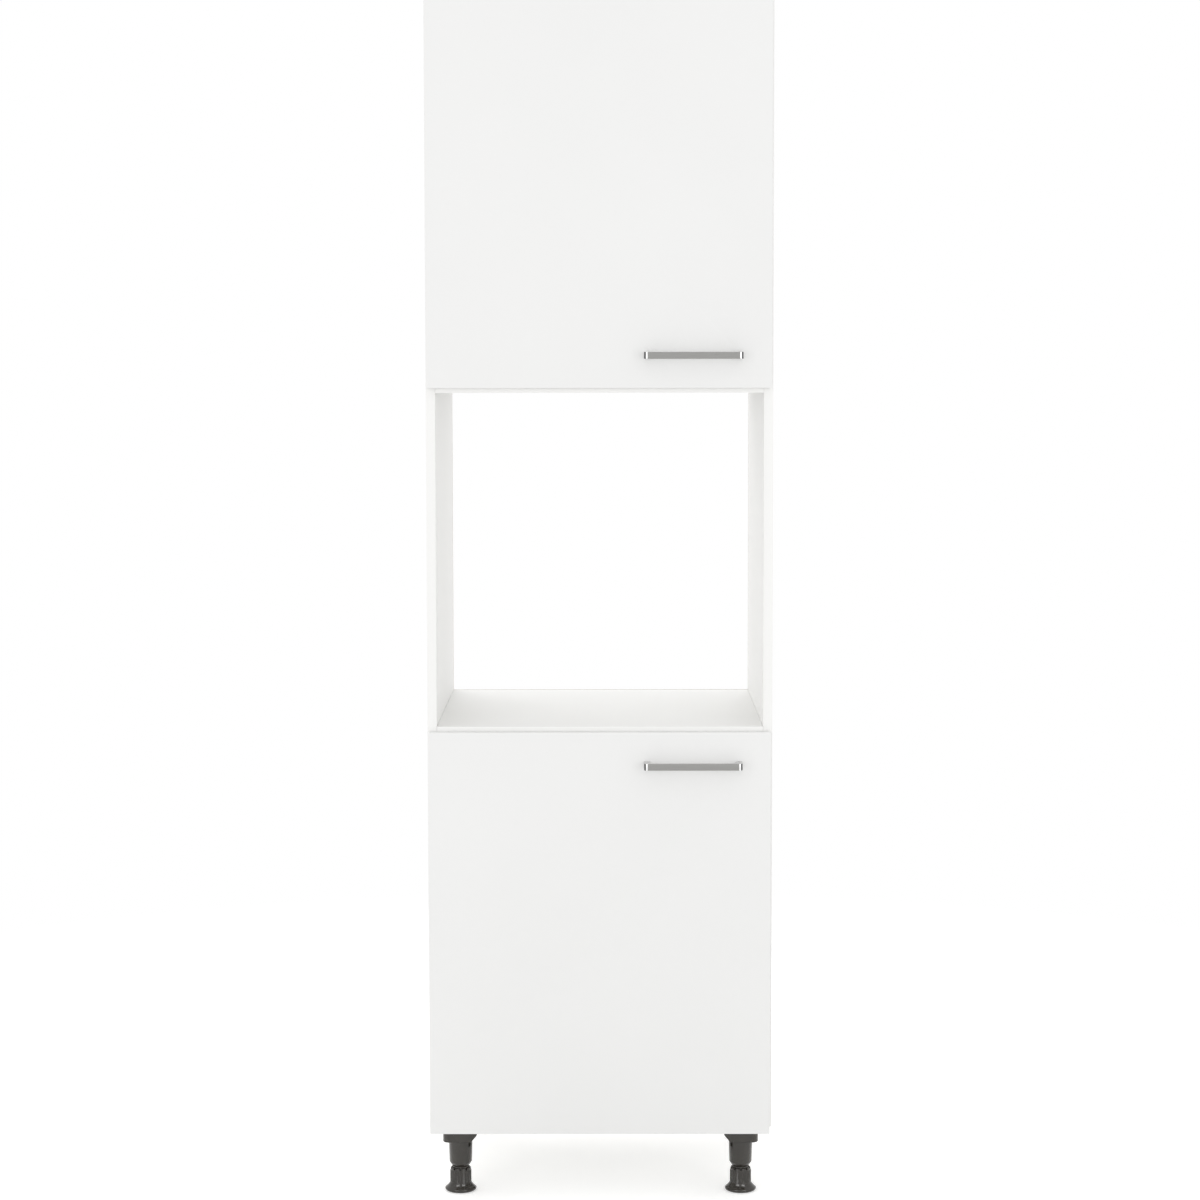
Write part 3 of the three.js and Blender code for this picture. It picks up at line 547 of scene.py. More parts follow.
# ---------------------------------------------------------------- solids
SOFTENED_PAST = 35.0  # degrees between the faces of an edge that gets rounded
CREASED_PAST = 32.0  # degrees between the faces of an edge that stays sharp
FACING = 0.8  # share of a face's normal along the way that it counts as facing
EDGE_MARGIN = 0.6  # millimetres inside a board's box where its bores and grooves begin
PAST = 1.0  # millimetres that a cutter reaches past what it cuts


def evaluated_mesh(obj: bpy.types.Object) -> bpy.types.Mesh:
    """Turns an object with its modifiers into a plain mesh and removes the object.

    Args:
        obj: the object to use up.

    Returns:
        A new mesh with the modifiers' result.
    """
    bpy.context.view_layer.update()
    graph = bpy.context.evaluated_depsgraph_get()
    result = bpy.data.meshes.new_from_object(obj.evaluated_get(graph))
    bpy.data.objects.remove(obj)
    return result


def loose_object(mesh: bpy.types.Mesh) -> bpy.types.Object:
    """Puts a mesh in the scene as a working object.

    Args:
        mesh: the mesh.

    Returns:
        The working object.
    """
    obj = bpy.data.objects.new("working", mesh)
    bpy.context.scene.collection.objects.link(obj)
    return obj


class Solid:
    """A closed shape in millimetres that can be joined, cut, softened and moved."""

    def __init__(self, mesh: bpy.types.Mesh) -> None:
        """Wraps a mesh."""
        self.mesh = mesh

    @classmethod
    def from_bmesh(cls, shape: bmesh.types.BMesh) -> "Solid":
        """Makes a solid of a bmesh with its normals outwards, and frees the bmesh.

        Args:
            shape: the bmesh to use up.

        Returns:
            The solid.
        """
        bmesh.ops.recalc_face_normals(shape, faces=shape.faces)
        mesh = bpy.data.meshes.new("solid")
        shape.to_mesh(mesh)
        shape.free()
        return cls(mesh)

    @classmethod
    def block(cls, low: Point, high: Point) -> "Solid":
        """A box between two corners.

        Args:
            low: its lowest corner.
            high: its highest corner.

        Returns:
            The solid.
        """
        shape = bmesh.new()
        bmesh.ops.create_cube(shape, size=1.0)
        size = [high[i] - low[i] for i in range(3)]
        middle = [(high[i] + low[i]) / 2 for i in range(3)]
        bmesh.ops.scale(shape, vec=size, verts=shape.verts)
        bmesh.ops.translate(shape, vec=middle, verts=shape.verts)
        return cls.from_bmesh(shape)

    @classmethod
    def prism(cls, outline: list[Place], span: Span, axis: Axis = Axis.Z) -> "Solid":
        """A plane outline raised along an axis.

        Args:
            outline: its corners, in x and y before the turn onto the axis.
            span: the low and high end along the axis.
            axis: the axis it is raised along.

        Returns:
            The solid.
        """
        shape = bmesh.new()
        base = [shape.verts.new((x, y, span[0])) for x, y in outline]
        face = shape.faces.new(base)
        raised = bmesh.ops.extrude_face_region(shape, geom=[face])
        top = [part for part in raised["geom"] if isinstance(part, bmesh.types.BMVert)]
        bmesh.ops.translate(shape, vec=(0, 0, span[1] - span[0]), verts=top)
        bmesh.ops.transform(shape, matrix=axis.value, verts=shape.verts)
        return cls.from_bmesh(shape)

    @classmethod
    def turned(cls, profile: list[Place], facets: int, axis: Axis = Axis.Z) -> "Solid":
        """A revolved shape.

        Args:
            profile: radii and heights, from radius 0 at the bottom to radius 0 at the top.
            facets: how many sides the shape has.
            axis: the axis it is turned about.

        Returns:
            The solid.
        """
        shape = bmesh.new()
        rings = []
        for radius, height in profile:
            if radius == 0:
                rings.append([shape.verts.new((0, 0, height))])
                continue
            ring = []
            for i in range(facets):
                angle = math.tau * i / facets
                x, y = radius * math.cos(angle), radius * math.sin(angle)
                ring.append(shape.verts.new((x, y, height)))
            rings.append(ring)
        for low, high in zip(rings, rings[1:]):
            for i in range(facets):
                lower = [low[j % len(low)] for j in (i, i + 1)]
                upper = [high[j % len(high)] for j in (i + 1, i)]
                distinct = list(dict.fromkeys(lower + upper))
                if len(distinct) > 2:
                    shape.faces.new(distinct)
        bmesh.ops.transform(shape, matrix=axis.value, verts=shape.verts)
        return cls.from_bmesh(shape)

    @classmethod
    def rod(
        cls, radius: float, centre: Point, length: float, axis: Axis, facets: int = 32
    ) -> "Solid":
        """A round bar centred at a point."""
        profile = [(0, -length / 2), (radius, -length / 2), (radius, length / 2), (0, length / 2)]
        return cls.turned(profile, facets, axis).moved(*centre)

    def _with(self, kind: str, **settings: object) -> "Solid":
        """Applies one modifier.

        Args:
            kind: the modifier's type.
            settings: its own properties.

        Returns:
            The result.
        """
        obj = loose_object(self.mesh)
        modifier = obj.modifiers.new(kind, kind)
        for name, value in settings.items():
            setattr(modifier, name, value)
        return Solid(evaluated_mesh(obj))

    def _boolean(self, operation: str, others: tuple["Solid", ...]) -> "Solid":
        """Joins or cuts this solid with others, one after the other.

        Args:
            operation: UNION, DIFFERENCE or INTERSECT.
            others: the other solids.

        Returns:
            The result.
        """
        result = self
        for other in others:
            tool = loose_object(other.mesh)
            result = result._with("BOOLEAN", operation=operation, solver="EXACT", object=tool)
            bpy.data.objects.remove(tool)
        return result

    def cut(self, *tools: "Solid") -> "Solid":
        """Returns this solid with other solids cut out of it."""
        return self._boolean("DIFFERENCE", tools)

    def join(self, *others: "Solid") -> "Solid":
        """Returns this solid fused with others."""
        return self._boolean("UNION", others)

    def common(self, *others: "Solid") -> "Solid":
        """Returns what this solid and the others share."""
        return self._boolean("INTERSECT", others)

    def softened(self, width: float, segments: int = 2) -> "Solid":
        """Returns this solid with its sharp edges rounded.

        Args:
            width: the width of the rounding, in millimetres.
            segments: how many faces it has.

        Returns:
            The softened solid.
        """
        return self._with(
            "BEVEL", width=width, segments=segments, limit_method="ANGLE",
            angle_limit=math.radians(SOFTENED_PAST), harden_normals=False,
        )

    def moved(self, x: float, y: float, z: float) -> "Solid":
        """Moves this solid and returns it."""
        self.mesh.transform(Matrix.Translation((x, y, z)))
        return self

    def spun(self, degrees: float) -> "Solid":
        """Turns this solid about the Z axis and returns it."""
        self.mesh.transform(Matrix.Rotation(math.radians(degrees), 4, "Z"))
        return self


def arc(centre: Place, radius: float, start: float, end: float, steps: int = 8) -> list[Place]:
    """Places along an arc.

    Args:
        centre: the arc's centre.
        radius: its radius.
        start: the angle of its first place, in degrees.
        end: the angle of its last place.
        steps: how many chords it has.

    Returns:
        The places, ends included.
    """
    angles = [math.radians(start + (end - start) * i / steps) for i in range(steps + 1)]
    return [(centre[0] + radius * math.cos(a), centre[1] + radius * math.sin(a)) for a in angles]


def rounded_rectangle(low: Place, high: Place, radius: float, steps: int) -> list[Place]:
    """The outline of a rectangle with round corners.

    Args:
        low: its lowest corner.
        high: its highest corner.
        radius: the radius of its round corners.
        steps: how many chords each round corner has.

    Returns:
        The outline, anticlockwise from the bottom right corner.
    """
    left, right = low[0] + radius, high[0] - radius
    bottom, top = low[1] + radius, high[1] - radius
    outline: list[Place] = []
    for i, centre in enumerate(((right, bottom), (right, top), (left, top), (left, bottom))):
        outline += arc(centre, radius, 90 * i - 90, 90 * i, steps)
    return outline


def node_box(node: str) -> tuple[Vector, Vector]:
    """The lowest and highest corners of a CAD node, in millimetres."""
    low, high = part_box(node)
    return low / MM, high / MM


def place_piece(
    name: str, solid: Solid, body: str, finish: Finish, stands_for: tuple[str, ...] = ()
) -> None:
    """Finishes a piece: metres, material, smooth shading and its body.

    Args:
        name: the piece's name.
        solid: its shape, in millimetres.
        body: the CAD body that carries it.
        finish: its finish.
        stands_for: the CAD nodes that it replaces.
    """
    mesh = solid.mesh
    mesh.transform(Matrix.Scale(MM, 4))
    mesh.name = name
    mesh.materials.clear()
    mesh.materials.append(finish.material())
    if isinstance(finish, BoardFinish):
        mesh.materials.append(finish.core.material())
        bare = [int(mark.value) for mark in mesh.attributes["core"].data]
        mesh.polygons.foreach_set("material_index", bare)
    mesh.shade_smooth()
    mesh.set_sharp_from_angle(angle=math.radians(CREASED_PAST))
    obj = bpy.data.objects.new(name, mesh)
    bpy.context.scene.collection.objects.link(obj)
    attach(obj, body)
    if stands_for:
        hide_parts(*stands_for)
    LOG.info("%s rides on %s, %d faces", name, body, len(mesh.polygons))


def dress_node(node: str, solid: Solid, body: str, finish: Finish) -> None:
    """Places the piece that stands for one CAD node."""
    place_piece(f"dressed_{node}", solid, body, finish, (node,))


def mark_board(
    solid: Solid, low: Vector, high: Vector, bands: tuple[Point, ...], bare: tuple[Point, ...]
) -> None:
    """Gives a board's faces their finish: coated, banded, or bare core.

    Args:
        solid: the board.
        low: the board's lowest corner.
        high: its highest corner.
        bands: the ways that its banded edges face.
        bare: the ways that its sawn edges face. Bores and grooves are bare too.
    """
    solid.mesh.attributes.new("band", "FLOAT", "FACE")
    solid.mesh.attributes.new("core", "BOOLEAN", "FACE")
    band, core = solid.mesh.attributes["band"], solid.mesh.attributes["core"]
    for polygon in solid.mesh.polygons:
        banded = any(polygon.normal.dot(Vector(way)) > FACING for way in bands)
        sawn = any(polygon.normal.dot(Vector(way)) > FACING for way in bare)
        bored = all(
            low[i] + EDGE_MARGIN < polygon.center[i] < high[i] - EDGE_MARGIN for i in range(3)
        )
        band.data[polygon.index].value = float(banded)
        core.data[polygon.index].value = sawn or bored


# ---------------------------------------------------------------- geometry nodes
SCREW_FACETS = 32
CROWN_SHARE = 0.84
ROOT_SHARE = 0.97
RECESS_LENGTH_SHARE = 1.15
RECESS_WIDTH_SHARE = 0.26
RIB_FACETS = 8


class GeometryTree(NodeTree):
    """A geometry node tree with named inputs that ends in Realize Instances and Set Material."""

    def __init__(self, name: str, inputs: dict[str, str]) -> None:
        """Makes the tree and its sockets.

        Args:
            name: the tree's name.
            inputs: the kind of each named input besides the geometry and the material.
        """
        super().__init__(bpy.data.node_groups.new(name, "GeometryNodeTree"))
        self.socket("Geometry", "Geometry")
        self.socket("Geometry", "Geometry", output=True)
        for key, kind in inputs.items():
            self.socket(key, kind)
        self.socket("Finish", "Material")
        self.given = self.add("NodeGroupInput").outputs

    def shifted(self, shape: Socket, height: object) -> Socket:
        """Lifts a shape along Z.

        Args:
            shape: the shape's geometry.
            height: how far it is lifted.

        Returns:
            The lifted shape.
        """
        lift = self.add("ShaderNodeCombineXYZ", {"Z": height}).outputs[0]
        inputs = {"Geometry": shape, "Translation": lift}
        return self.add("GeometryNodeTransform", inputs).outputs[0]

    def fused(self, kind: str, shapes: tuple[Socket, ...], first: Socket | None = None) -> Socket:
        """Joins shapes, or cuts them out of a first one.

        Args:
            kind: UNION or DIFFERENCE.
            shapes: the shapes to join or to cut out.
            first: the shape that they are cut out of.

        Returns:
            The result.
        """
        inputs = {"Mesh 1": first} if first else {}
        node = self.add("GeometryNodeMeshBoolean", inputs, operation=kind, solver="EXACT")
        for shape in shapes:
            self.tree.links.new(shape, node.inputs["Mesh 2"])
        return node.outputs["Mesh"]

    def end(self, instances: Socket) -> None:
        """Closes the tree over its instances.

        Args:
            instances: the instances that the tree makes.
        """
        real = self.add("GeometryNodeRealizeInstances", {"Geometry": instances})
        dressed = self.add("GeometryNodeSetMaterial", {
            "Geometry": real.outputs[0], "Material": self.given["Finish"],
        })
        self.add("NodeGroupOutput", {"Geometry": dressed.outputs[0]})

    def run(self, base: bpy.types.Mesh, values: dict[str, object]) -> Solid:
        """Runs the tree on a mesh.

        Args:
            base: the mesh that goes in.
            values: a value for each named input.

        Returns:
            The result, as a solid.
        """
        obj = loose_object(base)
        modifier = obj.modifiers.new("tree", "NODES")
        modifier.node_group = self.tree
        for item in self.tree.interface.items_tree:
            if item.in_out == "INPUT" and item.name in values:
                modifier[item.identifier] = values[item.name]
        return Solid(evaluated_mesh(obj))


def screw_tree() -> GeometryTree:
    """Builds the tree that sets cross-head screws at the points of a mesh.

    Returns:
        The tree. Its mesh needs a point attribute named seat_axis, the way each head faces.
    """
    tree = GeometryTree("screw_heads", {
        "Head Radius": "Float", "Head Height": "Float", "Sink": "Float", "Recess Depth": "Float",
    })
    given = tree.given
    radius, height, sink = given["Head Radius"], given["Head Height"], given["Sink"]
    crown = tree.add("GeometryNodeMeshCone", {
        "Vertices": SCREW_FACETS, "Radius Bottom": radius,
        "Radius Top": tree.maths("MULTIPLY", radius, CROWN_SHARE), "Depth": height,
    })
    root_top = tree.maths("MULTIPLY", height, 0.5)
    root = tree.add("GeometryNodeMeshCylinder", {
        "Vertices": SCREW_FACETS, "Radius": tree.maths("MULTIPLY", radius, ROOT_SHARE),
        "Depth": tree.maths("ADD", sink, root_top),
    })
    root_middle = tree.maths("MULTIPLY", tree.maths("SUBTRACT", root_top, sink), 0.5)
    sunk = tree.shifted(root.outputs["Mesh"], root_middle)
    head = tree.fused("UNION", (crown.outputs["Mesh"], sunk))
    long = tree.maths("MULTIPLY", radius, RECESS_LENGTH_SHARE)
    short = tree.maths("MULTIPLY", radius, RECESS_WIDTH_SHARE)
    deep = tree.maths("MULTIPLY", given["Recess Depth"], 2.0)
    bars = []
    for x, y in ((long, short), (short, long)):
        size = tree.add("ShaderNodeCombineXYZ", {"X": x, "Y": y, "Z": deep})
        bar = tree.add("GeometryNodeMeshCube", {"Size": size.outputs[0]})
        bars.append(tree.shifted(bar.outputs["Mesh"], height))
    recessed = tree.fused("DIFFERENCE", tuple(bars), head)
    seat = tree.add(
        "GeometryNodeInputNamedAttribute", {"Name": "seat_axis"}, data_type="FLOAT_VECTOR"
    )
    facing = tree.add("FunctionNodeAlignRotationToVector", {"Vector": seat.outputs[0]}, axis="Z")
    heads = tree.add("GeometryNodeInstanceOnPoints", {
        "Points": given["Geometry"], "Instance": recessed, "Rotation": facing.outputs[0],
    })
    tree.end(heads.outputs["Instances"])
    return tree


def rib_tree() -> GeometryTree:
    """Builds the tree that sets upright ribs round an axis.

    Returns:
        The tree. Its mesh may be empty.
    """
    tree = GeometryTree("ribs_round_an_axis", {
        "Count": "Int", "Ring Radius": "Float", "Rib Radius": "Float",
        "Low": "Float", "High": "Float",
    })
    given = tree.given
    ring = tree.add("GeometryNodeMeshCircle", {
        "Vertices": given["Count"], "Radius": given["Ring Radius"],
    })
    length = tree.maths("SUBTRACT", given["High"], given["Low"])
    rib = tree.add("GeometryNodeMeshCylinder", {
        "Vertices": RIB_FACETS, "Radius": given["Rib Radius"], "Depth": length,
    })
    middle = tree.maths("MULTIPLY", tree.maths("ADD", given["High"], given["Low"]), 0.5)
    ribs = tree.add("GeometryNodeInstanceOnPoints", {
        "Points": ring.outputs["Mesh"], "Instance": tree.shifted(rib.outputs["Mesh"], middle),
    })
    tree.end(ribs.outputs["Instances"])
    return tree


@dataclass
class ScrewSet:
    """Cross-head screws of one size on one body, set by geometry nodes."""

    name: str
    body: str
    finish: Finish
    head_radius: float
    head_height: float
    sink: float
    recess: float

    def build(self, tree: GeometryTree, seats: list[Seat]) -> None:
        """Sets a screw at each seat.

        Args:
            tree: the screw tree.
            seats: the middle of each seat and the way its head faces.
        """
        base = bpy.data.meshes.new(self.name)
        base.from_pydata([seat for seat, _ in seats], [], [])
        ways = base.attributes.new("seat_axis", "FLOAT_VECTOR", "POINT")
        for i, (_, way) in enumerate(seats):
            ways.data[i].vector = way
        heads = tree.run(base, {
            "Head Radius": self.head_radius, "Head Height": self.head_height,
            "Sink": self.sink, "Recess Depth": self.recess, "Finish": self.finish.material(),
        })
        place_piece(self.name, heads, self.body, self.finish)


# ---------------------------------------------------------------- carcass
WALL_HOLE_RADIUS = 3.2
WALL_HOLE_DROP = 16.8


@dataclass
class Carcass:
    """The boards: sides, cross panels, shelves and back panels."""

    arris: float = 0.35
    hole_radius: float = 2.8
    hole_depth: float = 9.0
    hole_play: float = 0.2
    hole_pitch: float = 32.0
    groove_play: float = 0.3
    groove_depth: float = 7.0
    cam_radius: float = 7.3
    cam_from_end: float = 34.0
    cam_from_edge: float = 60.0
    wall_hole_length: float = 12.0
    facets: int = 24

    def build(self) -> None:
        """Builds and dresses every board."""
        for side in Side:
            self.side_panel(side)
        for node in ("top_panel", "niche_ceiling_panel", "niche_floor_panel", "bottom_panel"):
            self.plain_board(node, (REARWARD,))
        for level in Level:
            self.plain_board(f"shelf_{level}", (REARWARD, RIGHTWARD, LEFTWARD))
        self.back_panel("back_panel_lower", ())
        self.back_panel("back_panel_upper", ("wall_bracket_left", "wall_bracket_right"))

    def cam_seats(self) -> list[Seat]:
        """Where the cams sit that draw the cross panels to the sides, out of sight of the niche.

        Returns:
            Each cam's middle and the way it faces.
        """
        seats: list[Seat] = []
        ways = {
            "top_panel": DOWNWARD, "niche_ceiling_panel": UPWARD,
            "niche_floor_panel": DOWNWARD, "bottom_panel": UPWARD,
        }
        for node, way in ways.items():
            low, high = node_box(node)
            z = high.z if way is UPWARD else low.z
            for x in (low.x + self.cam_from_end, high.x - self.cam_from_end):
                for y in (low.y + self.cam_from_edge, high.y - self.cam_from_edge):
                    seats.append(((x, y, z), way))
        return seats

    def side_panel(self, side: Side) -> None:
        """Builds one side panel with its groove and its rows of shelf-pin holes.

        Args:
            side: which side.
        """
        node = f"side_panel_{side.word}"
        low, high = node_box(node)
        inner_x = high.x if side is Side.LEFT else low.x
        panel = Solid.block(tuple(low), tuple(high)).softened(self.arris)
        back_low, back_high = node_box("back_panel_lower")
        reach = (inner_x + side.value * self.groove_depth, inner_x - side.value * PAST)
        groove = Solid.block(
            (min(reach), back_low.y - self.groove_play, low.z - PAST),
            (max(reach), back_high.y + self.groove_play, high.z + PAST),
        )
        x = inner_x + side.value * self.hole_depth / 2
        holes = []
        for level in Level:
            for row in Row:
                pin_low, pin_high = node_box(f"shelf_pin_{level}_{side.word}_{row}")
                y = (pin_low.y + pin_high.y) / 2
                for step in (-1, 0, 1):
                    z = pin_high.z - self.hole_radius + step * self.hole_pitch
                    depth = self.hole_depth + self.hole_play
                    holes.append(Solid.rod(self.hole_radius, (x, y, z), depth, Axis.X, self.facets))
        panel = panel.cut(groove, *holes)
        mark_board(panel, low, high, (FRONTWARD,), (REARWARD, UPWARD, DOWNWARD))
        place_piece(f"dressed_side_{side.word}", panel, "carcass", CARCASS_FINISH, (node,))

    def plain_board(self, node: str, bare: tuple[Point, ...]) -> None:
        """Builds one plain board over its CAD node.

        Args:
            node: the CAD node.
            bare: the ways that its bare sawn edges face.
        """
        low, high = node_box(node)
        board = Solid.block(tuple(low), tuple(high)).softened(self.arris)
        mark_board(board, low, high, (FRONTWARD,), bare)
        dress_node(node, board, "carcass", CARCASS_FINISH)

    def back_panel(self, node: str, brackets: tuple[str, ...]) -> None:
        """Builds a back panel: lacquered inside, bare fibreboard outside.

        Args:
            node: the CAD node.
            brackets: the wall brackets whose screws pass through it.
        """
        low, high = node_box(node)
        sheet = Solid.block(tuple(low), tuple(high))
        holes = []
        for bracket in brackets:
            corner_low, corner_high = node_box(bracket)
            x = (corner_low.x + corner_high.x) / 2
            centre = (x, low.y, corner_high.z - WALL_HOLE_DROP)
            length = self.wall_hole_length
            holes.append(Solid.rod(WALL_HOLE_RADIUS, centre, length, Axis.Y, self.facets))
        sheet = sheet.cut(*holes)
        mark_board(sheet, low, high, (), (REARWARD, RIGHTWARD, LEFTWARD, UPWARD, DOWNWARD))
        dress_node(node, sheet, "carcass", BACK_FINISH)


# ---------------------------------------------------------------- doors and handles
@dataclass
class SlabDoor:
    """A slab door with its banded edges, cup bores and handle holes."""

    level: Level
    arris: float = 0.5
    cup_radius: float = 17.8
    cup_depth: float = 13.0
    cup_from_edge: float = 20.5
    cup_from_end: float = 97.0
    screw_hole: float = 2.4
    cup_facets: int = 64
    hole_facets: int = 24

    def build(self) -> None:
        """Builds and dresses the door."""
        node = f"{self.level}_door"
        low, high = node_box(node)
        slab = Solid.block(tuple(low), tuple(high)).softened(self.arris, 4)
        cuts = []
        for z in (low.z + self.cup_from_end, high.z - self.cup_from_end):
            centre = (low.x + self.cup_from_edge, high.y - self.cup_depth / 2 + PAST, z)
            depth = self.cup_depth + 2 * PAST
            cuts.append(Solid.rod(self.cup_radius, centre, depth, Axis.Y, self.cup_facets))
        through = high.y - low.y + 2 * PAST
        for side in Side:
            screw_low, screw_high = node_box(f"{self.level}_handle_screw_{side.word}")
            middle = (screw_low + screw_high) / 2
            centre = (middle.x, (low.y + high.y) / 2, middle.z)
            cuts.append(Solid.rod(self.screw_hole, centre, through, Axis.Y, self.hole_facets))
        slab = slab.cut(*cuts)
        mark_board(slab, low, high, (RIGHTWARD, LEFTWARD, UPWARD, DOWNWARD), ())
        dress_node(node, slab, node, DOOR_FINISH)


@dataclass
class BowHandle:
    """A flat steel bar bent into a bow."""

    level: Level
    post: float = 10.0
    bar: float = 6.0
    outer_radius: float = 6.0
    inner_radius: float = 3.0
    arris: float = 0.5
    thread: float = 2.4
    thread_depth: float = 9.6
    thread_facets: int = 24
    # where the handle gets painted highlights and painted dark reflections
    crown_from: float = 2.0
    crown_to: float = 31.0
    upright: float = 0.3
    frontmost: float = 0.7
    edge_polish: float = 0.45

    def build(self) -> None:
        """Builds and dresses the handle."""
        node = f"{self.level}_handle"
        low, high = node_box(node)
        inner_y = low.y + self.bar
        corner, bend = self.outer_radius, self.inner_radius
        outline = [(low.x, high.y)]
        outline += arc((low.x + corner, low.y + corner), corner, 180, 270, 12)
        outline += arc((high.x - corner, low.y + corner), corner, 270, 360, 12)
        outline += [(high.x, high.y), (high.x - self.post, high.y)]
        outline += arc((high.x - self.post - bend, inner_y + bend), bend, 0, -90)
        outline += arc((low.x + self.post + bend, inner_y + bend), bend, -90, -180)
        outline += [(low.x + self.post, high.y)]
        bow = Solid.prism(outline, (low.z, high.z)).softened(self.arris, 3)
        # painted highlights on the bends' crowns and edges, painted dark reflections on the outer
        # flanks
        self.polish(bow, low.y)
        threads = []
        for x in (low.x + self.post / 2, high.x - self.post / 2):
            centre = (x, high.y - self.thread_depth / 2 + PAST, (low.z + high.z) / 2)
            depth = self.thread_depth + 2 * PAST
            threads.append(Solid.rod(self.thread, centre, depth, Axis.Y, self.thread_facets))
        dress_node(node, bow.cut(*threads), f"{self.level}_door", HANDLE_FINISH)

    def polish(self, bow: Solid, low_y: float) -> None:
        """Marks painted highlights on the bends' crowns and edges, and painted dark reflections on
        their outer flanks.

        Args:
            bow: the handle's solid.
            low_y: the place of its front face.
        """
        bright = bow.mesh.attributes.new("polished", "FLOAT", "FACE")
        dull = bow.mesh.attributes.new("dulled", "FLOAT", "FACE")
        for polygon in bow.mesh.polygons:
            way = polygon.normal
            sideways = math.degrees(math.atan2(abs(way.x), -way.y))
            flat = abs(way.z) < self.upright
            bent = flat and polygon.center.y < low_y + self.outer_radius
            crown = bent and self.crown_from < sideways < self.crown_to
            edge = self.edge_polish * float(way.y > -self.frontmost)
            bright.data[polygon.index].value = 1.0 if crown else edge
            dull.data[polygon.index].value = float(bent and sideways >= self.crown_to)


